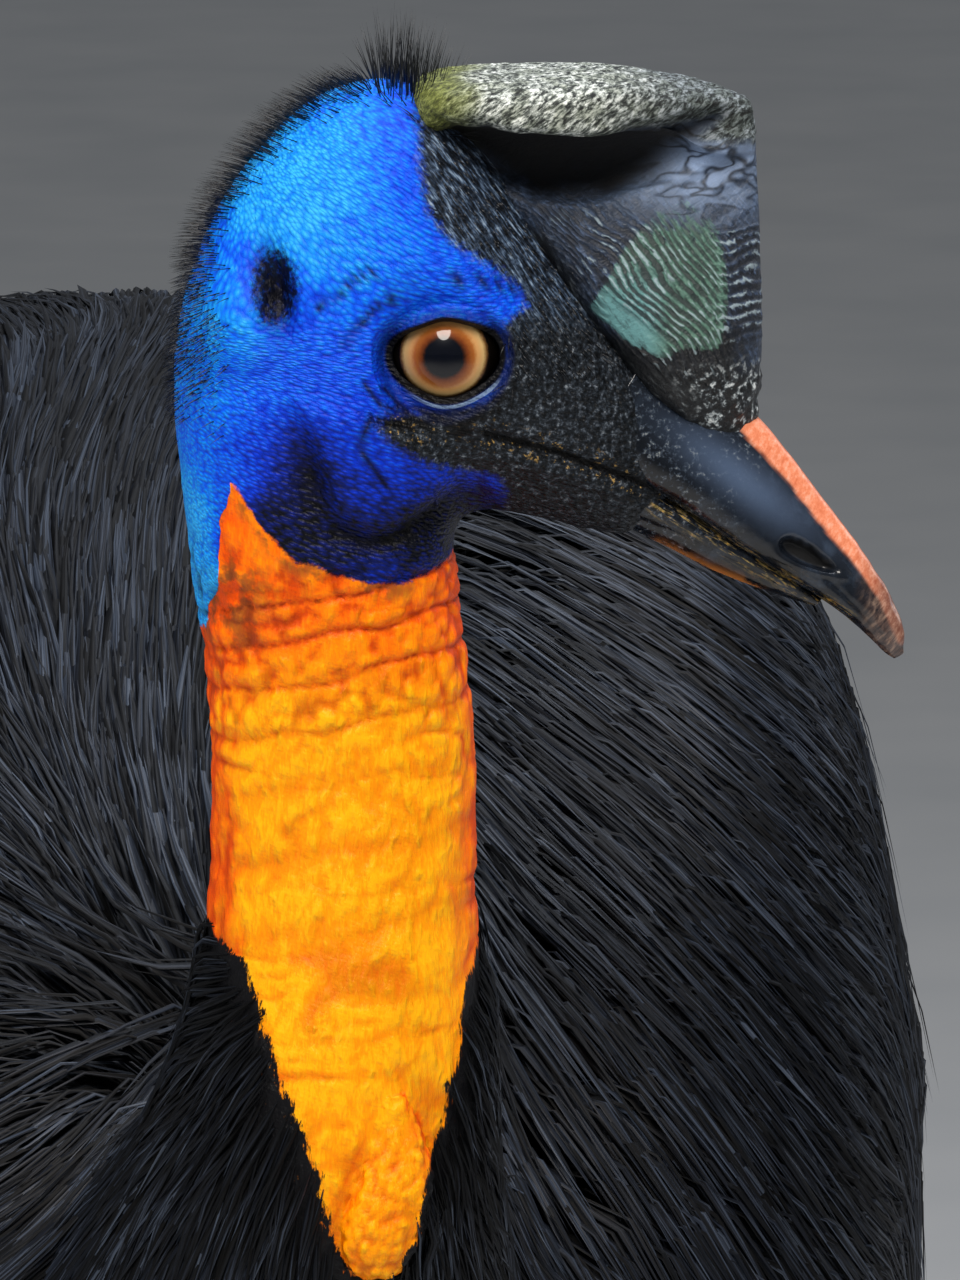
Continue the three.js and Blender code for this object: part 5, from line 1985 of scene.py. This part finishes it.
# %% Plumage material
# Loose barbs, dull and nearly black, with a soft grey-blue sheen where the locks turn to the sky.
# The single hairs are about 0.5 mm, drawn a little coarser than life so that they show.
plumage_look, add, plug_in = new_material(
    "hair_like_plumage", Roughness=0.46, IOR=1.5, Specular_IOR_Level=0.17)
stored = read_values(add, ("strand_along", "strand_across", "strand_tone"))
lines = add(JOIN, {
    0: stored["strand_across"],
    1: add(MATH, {0: stored["strand_along"], 1: 1.1}, **TIMES),
    2: add(MATH, {0: stored["strand_tone"], 1: 60.0}, **TIMES),
})
hairs = add(NOISE, {"Vector": lines, "Scale": 1.0, "Detail": 2.0})
mixed = add(MATH, {0: hairs, 1: 0.9}, **TIMES)
mixed = add(MATH, {0: stored["strand_tone"], 1: 0.42, 2: mixed}, **TIMES_PLUS)
reach = add(RANGE, {0: stored["strand_along"], 1: 0.15, 2: 0.75, 3: -0.12, 4: 0.0}, **EVEN)
mixed = add(MATH, {0: mixed, 1: reach}, **PLUS)
colour = add(RAMP, {0: mixed}, stops=[
    (0.42, "#020203"), (0.58, "#07090d"), (0.72, "#141821"), (0.88, "#38404d")])
rough = add(RANGE, {0: mixed, 1: 0.45, 2: 0.85, 3: 0.68, 4: 0.36})
relief = add(BUMP, {"Height": hairs, "Distance": 0.25 * MM, "Strength": 0.5})
plug_in(Base_Color=colour, Roughness=rough, Normal=relief)
dress(plumage_look, *plumage)
bpy.data.objects.remove(outline)

# %% [markdown]
# ## Bristles, quills and scutes
# Three things repeat on the bird: the hair-like bristles that stand on the back of the head, the
# bare quills that are all a cassowary keeps of its wing feathers, and the scutes that overlap down
# the front of each leg like roof tiles. Geometry Nodes suit them, because each is one small shape
# set many times on a bed or a line that the mesh gives, with its direction and size stored there.

# %% A bed or line with directions
def bed(name, points, faces, edges=(), **values):
    """A mesh that carries, for each point, the directions and sizes that the nodes read."""
    mesh = bpy.data.meshes.new(name)
    mesh.from_pydata((np.asarray(points) * MM).tolist(), list(edges), faces)
    for key, value in values.items():
        value = np.asarray(value, np.float32)
        kind, field = ("FLOAT_VECTOR", "vector") if value.ndim > 1 else ("FLOAT", "value")
        mesh.attributes.new(key, kind, "POINT").data.foreach_set(field, value.ravel())
    obj = bpy.data.objects.new(name, mesh)
    bpy.context.scene.collection.objects.link(obj)
    return obj


def run_nodes(obj, tree, name, sizes):
    """Gives the object the node tree, sets its named inputs and keeps the mesh that comes out."""
    modifier = obj.modifiers.new("nodes", "NODES")
    modifier.node_group = tree
    for socket in tree.interface.items_tree:
        if socket.name in sizes:
            modifier[socket.identifier] = sizes[socket.name]
    apply_modifiers(obj)
    obj.name = name
    return obj


print("skin to grow bristles on:", len(skin.data.vertices), "points")

# %% Trees for Geometry Nodes
READ, POINTS_ON, PUT, AIM = (
    "GeometryNodeInputNamedAttribute", "GeometryNodeDistributePointsOnFaces",
    "GeometryNodeInstanceOnPoints", "FunctionNodeAxesToRotation",
)
VECTOR = {"data_type": "FLOAT_VECTOR"}


def new_tree(name, sizes):
    """A node tree that takes and gives a mesh and has a named input for each size."""
    tree = bpy.data.node_groups.new(name, "GeometryNodeTree")
    add_socket = tree.interface.new_socket
    add_socket("Bed", in_out="INPUT", socket_type="NodeSocketGeometry")
    add_socket("Made", in_out="OUTPUT", socket_type="NodeSocketGeometry")
    for label, value in sizes.items():
        kind = "NodeSocketInt" if isinstance(value, int) else "NodeSocketFloat"
        add_socket(label, in_out="INPUT", socket_type=kind).default_value = value
    return tree, partial(add_node, tree), tree.nodes.new("NodeGroupInput").outputs


def end_tree(tree, add, instances, material):
    """Makes the instances one real, smooth mesh with its material, and gives it out."""
    solid = add("GeometryNodeRealizeInstances", {0: instances})
    smooth = add("GeometryNodeSetShadeSmooth", {0: solid})
    finished = add("GeometryNodeSetMaterial", {0: smooth, 2: material})
    tree.links.new(finished, tree.nodes.new("NodeGroupOutput").inputs[0])


def spike_tree(name, material, rings, sides, scattered):
    """Tapered, bent spikes on a bed: scattered over its faces, or one on each of its points."""
    tree, add, given = new_tree(name, {
        "Per square mm": 0.4, "Thickness": 0.2, "Tip share": 0.05, "Bend": 0.2, "Seed": 5,
    })
    at = given["Bed"]
    if scattered:
        share = add(READ, {0: "share"}, data_type="FLOAT")
        per_m2 = add(MATH, {0: given["Per square mm"], 1: 1e6}, **TIMES)
        density = add(MATH, {0: share, 1: per_m2}, **TIMES)
        spread = {"Mesh": at, "Density": density, "Seed": given["Seed"]}
        at = add(POINTS_ON, spread, distribute_method="RANDOM")
    spike = add("GeometryNodeMeshCone", {
        "Vertices": sides, "Side Segments": rings, "Radius Bottom": 1.0, "Depth": 1.0,
        "Radius Top": given["Tip share"],
    })
    height = add(SPLIT, {0: add("GeometryNodeInputPosition")}, out=2)
    lean = add(MATH, {0: add(MATH, {0: height, 1: height}, **TIMES), 1: given["Bend"]}, **TIMES)
    luck = add("FunctionNodeRandomValue", {2: 0.65, 3: 1.1, "Seed": given["Seed"]}, out=1, data_type="FLOAT")
    length = add(MATH, {0: add(READ, {0: "long"}, data_type="FLOAT"), 1: MM}, **TIMES)
    length = add(MATH, {0: length, 1: luck}, **TIMES)
    thick = add(MATH, {0: given["Thickness"], 1: MM}, **TIMES)
    # The lean is in the spike's own thickness, so it is scaled up to its length
    slender = add(MATH, {0: 12.0 if scattered else 60.0, 1: lean}, **TIMES)
    spike = add("GeometryNodeSetPosition", {0: spike, 3: add(JOIN, {0: slender})})
    aim = {0: add(READ, {0: "way"}, **VECTOR), 1: add(READ, {0: "fall"}, **VECTOR)}
    aim = add(AIM, aim, primary_axis="Z", secondary_axis="X")
    size = add(JOIN, {0: thick, 1: thick, 2: length})
    end_tree(tree, add, add(PUT, {0: at, 2: spike, 5: aim, 6: size}), material)
    return tree


print("nodes for spikes ready")

# %% Bristle and quill materials
# Bristles and quills are feather shafts without barbs: smooth, glassy, nearly black keratin
shaft_look, add, plug_in = new_material("bare_feather_shafts", Roughness=0.32, IOR=1.54)
speck = add(NOISE, {"Vector": in_mm(add), "Scale": 0.35, "Detail": 3.0})
colour = add(RAMP, {0: speck}, stops=[(0.35, "#07080a"), (0.55, "#14161a"), (0.72, "#3a3d42")])
plug_in(Base_Color=colour, Roughness=add(MATH, {0: speck, 1: 0.3, 2: 0.2}, **TIMES_PLUS))
print("shaft material of", len(shaft_look.node_tree.nodes), "nodes")

# %% Bristles of the head
points, normals = points_of(skin), normals_of(skin)
local = to_head(points)
x, y, z = local.T
ring = np.abs(y)
crown = ease(17, 6, ring) * ease(6, -4, x) * ease(-30, 5, z) * ease(-3, -8, x + 0.3 * z - 20)
nape = ease(-50, -58, x) * ease(-25, 0, z) * ease(44, 30, z) * 0.8
crest = ease(15, 8, ring) * ease(-20, -14, x) * ease(6, 2, x) * ease(48, 54, z)
brow = ease(1, 5, outline_depth(x, z, BLACK_SKIN)) * ease(14, 17, np.hypot(x, z)) * ease(52, 44, x)
brow *= ease(-10, -2, z) * ease(60, 50, z)
share = np.clip(np.maximum.reduce([crown, nape, 0.35 * crest, 0.5 * brow]), 0, 1)
share *= (z > -40) * (x < 55)
tall = 4.6 + 12 * crest - 1.4 * (brow > 0.3) + 3.2 * ease(0, -30, x) * ease(10, 26, z)
outwards = normals @ HEAD_AXES.T
along = np.stack([-0.55 - 0.5 * ease(20, -20, x), 0 * x, 0.25 - ease(40, 0, z)], 1)
down_brow = np.stack([0.75 + 0 * x, 0 * x, -0.85 + 0 * x], 1)
upright = np.stack([0.02 * (x + 8), 0.012 * y, 1 + 0 * x], 1)
way = 0.75 * outwards + along
way = np.where((brow > 0.25)[:, None], 0.28 * outwards + down_brow, way)
way = np.where((crest > 0.3)[:, None], 0.25 * outwards + upright, way)
way = unit(unit(way) + 0.22 * np.stack([noise(points, 3, 95 + k) for k in range(3)], 1)) @ HEAD_AXES
# The bed keeps only the faces of the skin where bristles grow
faces = [list(f.vertices) for f in skin.data.polygons if len(f.vertices) < 5]
faces = [f for f in faces if share[f].max() > 0.03]
used = np.unique(np.concatenate(faces))
renumber = np.zeros(len(points), int)
renumber[used] = np.arange(len(used))
faces = [renumber[f].tolist() for f in faces]
head_bed = bed(
    "head_bed", points[used], faces, share=share[used], long=tall[used], way=way[used],
    fall=np.tile([0.0, 0.0, -1.0], (len(used), 1)),
)
BRISTLE_RINGS, BRISTLE_SIDES = 3, 3
BRISTLE_SIZES = {"Per square mm": 0.55, "Thickness": 0.17, "Bend": 0.35}
tree = spike_tree("bristles", shaft_look, BRISTLE_RINGS, BRISTLE_SIDES, True)
bristles = run_nodes(head_bed, tree, "head_bristles", BRISTLE_SIZES)
# The head is unrolled round its own length, and each bristle has its patch at its root
each = points_of(bristles).reshape(-1, (BRISTLE_RINGS + 1) * BRISTLE_SIDES, 3)
root_x, root_y, root_z = to_head(each[:, :BRISTLE_SIDES].mean(1)).T
places = np.stack([0.5 + 0.98 * np.arctan2(root_y, root_z + 20) / (2 * np.pi), (root_x + 70) / 126], 1)
ring_of, side_of = np.divmod(np.arange(each.shape[1]), BRISTLE_SIDES)
for layer in list(bristles.data.uv_layers):
    bristles.data.uv_layers.remove(layer)
place_patches(bristles.data, places, side_of / (BRISTLE_SIDES - 1), ring_of / BRISTLE_RINGS)
print("bristles", triangles(bristles), "triangles")

# %% Quills of the wings
QUILLS = 5  # on each wing
quill_roots = {"at": [], "way": [], "fall": [], "long": []}
for side, sign in SIDES:
    low, high = (np.array(corner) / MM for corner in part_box(f"wing_{side}"))
    for k in range(QUILLS):
        quill_roots["at"].append([sign * 207, low[1] + 120 + 17 * k, high[2] - 52 - 7 * k])
        quill_roots["way"].append(unit([0.02 * sign, 0.72 - 0.05 * k, -0.68 - 0.03 * k]))
        quill_roots["fall"].append([0, 0.25, -1])
        quill_roots["long"].append(150 + 22 * math.sin(1.3 * k + 0.5))
quill_bed = bed("quill_bed", quill_roots.pop("at"), [], **quill_roots)
tree = spike_tree("quills", shaft_look, 12, 10, False)
QUILL_SIZES = {"Thickness": 2.1, "Tip share": 0.12, "Bend": 0.12}
quills = run_nodes(quill_bed, tree, "wing_quills", QUILL_SIZES)
print("quills", triangles(quills), "triangles")

# %% Scute material
scute_look, add, plug_in = new_material("horny_leg_scutes", Roughness=0.45, IOR=1.54)
mm = in_mm(add)
worn = add(NOISE, {"Vector": mm, "Scale": 0.12, "Detail": 4.0, "Roughness": 0.65})
scratch = add(TURN, {0: mm, "Scale": (1.6, 1.6, 0.35)})
scratch = add(NOISE, {"Vector": scratch, "Scale": 0.6, "Detail": 3.0})
mixed = add(MATH, {0: worn, 1: 0.6}, **TIMES)
mixed = add(MATH, {0: scratch, 1: 0.45, 2: mixed}, **TIMES_PLUS)
colour = add(RAMP, {0: mixed}, stops=[
    (0.36, "#3a352b"), (0.48, "#6b6554"), (0.6, "#8f8974"), (0.72, "#a9a48f")])
rough = add(MATH, {0: scratch, 1: 0.3, 2: 0.3}, **TIMES_PLUS)
relief = add(BUMP, {"Height": mixed, "Distance": 0.5 * MM, "Strength": 0.7})
plug_in(Base_Color=colour, Roughness=rough, Normal=relief)
print("scute material of", len(scute_look.node_tree.nodes), "nodes")

# %% Nodes for the scutes
scute_sizes = {"Spacing": 9.0, "Overlap": 1.35, "Thickness": 2.0, "Tilt": -9.0}
scute_tree, add, given = new_tree("scutes", scute_sizes)
spacing = add(MATH, {0: given["Spacing"], 1: MM}, **TIMES)
lines = add("GeometryNodeMeshToCurve", {0: given["Bed"]})
lines = add("GeometryNodeResampleCurve", {0: lines, "Length": spacing}, mode="LENGTH")
scute = add("GeometryNodeMeshUVSphere", {"Segments": 12, "Rings": 7, "Radius": 1.0})
aim = {0: add(READ, {0: "out"}, **VECTOR), 1: add("GeometryNodeInputTangent")}
aim = add(AIM, aim, primary_axis="Z", secondary_axis="Y")
tilt = add(JOIN, {0: add(MATH, {0: given["Tilt"]}, operation="RADIANS")})
tilt = add("FunctionNodeEulerToRotation", {0: tilt})
aim = add("FunctionNodeRotateRotation", {0: aim, 1: tilt}, rotation_space="LOCAL")
half = add(MATH, {0: add(MATH, {0: spacing, 1: given["Overlap"]}, **TIMES), 1: 0.5}, **TIMES)
size = add(JOIN, {
    0: add(MATH, {0: add(READ, {0: "wide"}, data_type="FLOAT"), 1: MM}, **TIMES),
    1: half,
    2: add(MATH, {0: given["Thickness"], 1: MM}, **TIMES),
})
end_tree(scute_tree, add, add(PUT, {0: lines, 2: scute, 5: aim, 6: size}), scute_look)
print("scutes", scute_sizes)


# %% Scutes of the legs and toes
def leg_lines(side, sign):
    """The lines of scutes: down the front of the leg, and along the top of each toe."""
    foot = foot_of(side)
    rows = np.array([row for row in LEG_ROWS if 40 < row[1] < 372], float)
    places = np.linspace(0, len(rows) - 1, 60)
    y, z, deep, wide, out = rows_at(rows, places).T
    front = np.stack([foot[0] + sign * out, foot[1] + y - deep + 0.6, z], 1)
    yield front, np.tile([0, -1.0, 0.12], (60, 1)), wide * 0.72
    for turn, length, width in TOES.values():
        stations = np.array(toe_stations(foot, sign, turn, length, width))
        row = rows_at(stations, np.linspace(0.6, 7.7, 40))
        top = row[:, 0:3] + np.outer(row[:, 9] - 0.3, [0, 0, 1])
        yield top, np.tile([0, 0, 1.0], (40, 1)), row[:, 10] * 0.74


points, outs, wides, edges = [], [], [], []
for side, sign in SIDES:
    for line, out, wide in leg_lines(side, sign):
        first = len(points)
        edges += [(first + k, first + k + 1) for k in range(len(line) - 1)]
        points += list(line)
        outs += list(out)
        wides += list(wide)
scute_lines = bed("scute_lines", points, [], edges, out=outs, wide=wides)
scutes = run_nodes(scute_lines, scute_tree, "leg_scutes", {})
rest_on_floor(scutes)
print("scutes", triangles(scutes), "triangles")

# %% [markdown]
# ## Claws
# Each claw is a sheath of worn horn. The inner toe's is a straight dagger as long as a hand. A loft on from
# the end of its toe, along the toe's line, gives each one its ridge on top and its flat underside.

# %% Claws
CLAWS = {
    # toe: claw length, width
    "inner": (108, 21),
    "middle": (42, 19),
    "outer": (36, 16),
}
CLAW_ROWS = [
    # along the claw, thickness, height of its middle, as shares of the half width
    [-0.05, 0.86, 1.72], [0.02, 0.97, 1.76], [0.22, 1, 1.84], [0.5, 0.76, 1.68],
    [0.78, 0.43, 1.3], [0.93, 0.17, 0.95], [0.985, 0.05, 0.8],
]


def claw(side, sign, toe):
    turn, reach, _ = TOES[toe]
    length, width = CLAWS[toe]
    foot, way = foot_of(side), toe_way(sign, turn)
    across = [-way[1], way[0], 0]
    stations = []
    for t, thick, height in CLAW_ROWS:
        at = foot + way * (reach + 0.3 + t * length) + [0, 0, width / 2 * height]
        half = width / 2 * thick
        stations.append(station(at, HEAD_Z, across, half * 1.1, half, 1.9, 0.22))
    piece = loft_piece(f"claw_{toe}_{side}_horn", stations, 56, 28)
    places = points_of(piece)
    along = (places - foot) @ way
    push_out(piece, 0.16 * np.sin(along * 1.1) + 0.22 * layered(places, 6, 3, 44))
    write_values(piece, {"towards_tip": (along - reach) / length})
    return piece


claws = {(toe, side): claw(side, sign, toe) for toe in CLAWS for side, sign in SIDES}
claw_look, add, plug_in = new_material("worn_claw_horn", Roughness=0.32, IOR=1.54)
drag = add(TURN, {0: in_mm(add), "Scale": (1.2, 0.22, 1.2)})
drag = add(NOISE, {"Vector": drag, "Scale": 0.6, "Detail": 4.0, "Roughness": 0.65})
to_tip = add(STORED, attribute_name="towards_tip", out="Fac")
tip = add(MATH, {0: to_tip, 1: 0.3, 2: add(MATH, {0: drag, 1: 0.8}, **TIMES)}, **TIMES_PLUS)
colour = add(RAMP, {0: tip}, stops=[
    (0.3, "#0e0c0b"), (0.5, "#29241f"), (0.66, "#57503f"), (0.8, "#8a8069")])
rough = add(MATH, {0: drag, 1: 0.4, 2: 0.14}, **TIMES_PLUS)
relief = add(BUMP, {"Height": drag, "Distance": 0.35 * MM, "Strength": 0.7})
plug_in(Base_Color=colour, Roughness=rough, Normal=relief)
dress(claw_look, *claws.values())
print("claws", triangles(*claws.values()), "triangles")

# %% [markdown]
# ## Floor, light and the pieces
# The floor is plain and pale. The light is a soft studio copy of an open sky: one large lamp in
# front and above, which also puts the small bright spot over the pupil, one overhead for the
# sheen on the back, and a weak world light to fill the shade.

# %% Floor and light
floor_look, add, plug_in = new_material("matt_studio_floor", Roughness=0.9)
dust = add(NOISE, {"Vector": add(PLACE, out="Object"), "Scale": 6.0, "Detail": 2.0})
plug_in(Base_Color=add(RAMP, {0: dust}, stops=[(0.3, "#c9cbcc"), (0.7, "#d2d3d3")]))
FLOOR_HALF = 3e4
corners = [(FLOOR_HALF * i, FLOOR_HALF * j, 0) for i, j in ((-1, -1), (1, -1), (1, 1), (-1, 1))]
floor = make_mesh("studio_floor", corners, [(0, 1, 2, 3)], False)
dress(floor_look, floor)

world = bpy.data.worlds.new("studio")
world.use_nodes = True
sky = world.node_tree.nodes["Background"].inputs
sky["Color"].default_value, sky["Strength"].default_value = tint("#e6ebf2"), 0.2
bpy.context.scene.world = world
bpy.context.scene.view_settings.view_transform = "Standard"


def lamp(name, place, size, power, colour):
    """A round soft box that faces the middle of the bird."""
    light = bpy.data.lights.new(name, "AREA")
    light.shape = "DISK"
    light.size, light.energy, light.color = size, power, tint(colour)[:3]
    obj = bpy.data.objects.new(name, light)
    obj.location = place
    obj.rotation_euler = (Vector((0, -0.2, 0.9)) - Vector(place)).to_track_quat("-Z", "Y").to_euler()
    bpy.context.scene.collection.objects.link(obj)
    return obj


lamp("front_soft_box", (-0.1, -2.0, 3.15), 1.4, 88, "#fff8f0")
lamp("overhead_soft_box", (0.5, 0.7, 3.4), 2.2, 62, "#eef4ff")
lamp("rim_soft_box", (2.6, 1.6, 1.8), 1.6, 7, "#f4f8ff")
# Two side lamps round off the neck; they add no shine to the plumage
for place, power in (((-2.6, -1.1, 1.5), 32), ((2.3, -1.5, 1.4), 16)):
    lamp("side_fill", place, 1.8, power, "#fff6ec").visible_glossy = False
print(len(bpy.data.lights), "lamps")

# %% Which solids each piece stands for
FLESH = ["head", "neck_upper", "neck_middle", "neck_lower", "breast", "trunk", "tail", "wattle"]
FLESH_OF_SIDE = ("ear", "thigh", "shank", "foot", "toe_inner", "toe_middle", "toe_outer")
by_node = {
    skin: FLESH + [f"{part}_{side}" for side, _ in SIDES for part in FLESH_OF_SIDE],
    casque: ["casque"],
    bill_upper: ["bill_upper"],
    bill_lower: ["bill_lower"],
    eyes["right"]: ["eye_right"],
    eyes["left"]: ["eye_left"],
    quills: ["wing_right", "wing_left"],
    **{piece: [f"claw_{toe}_{side}"] for (toe, side), piece in claws.items()},
}
finishes = {
    skin: "blue_skin", casque: "casque", bill_upper: "bill", bill_lower: "bill", quills: "plumage",
    bristles: "plumage", scutes: "leg_scales", eyes["right"]: "eye", eyes["left"]: "eye",
    **{piece: "claw" for piece in claws.values()}, **{piece: "plumage" for piece in plumage},
}
for piece, slot in finishes.items():
    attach(piece, "root")
for piece, nodes in by_node.items():
    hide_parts(*nodes)
every = triangles(*finishes)
print("whole bird", every, "triangles in", len(finishes), "pieces")
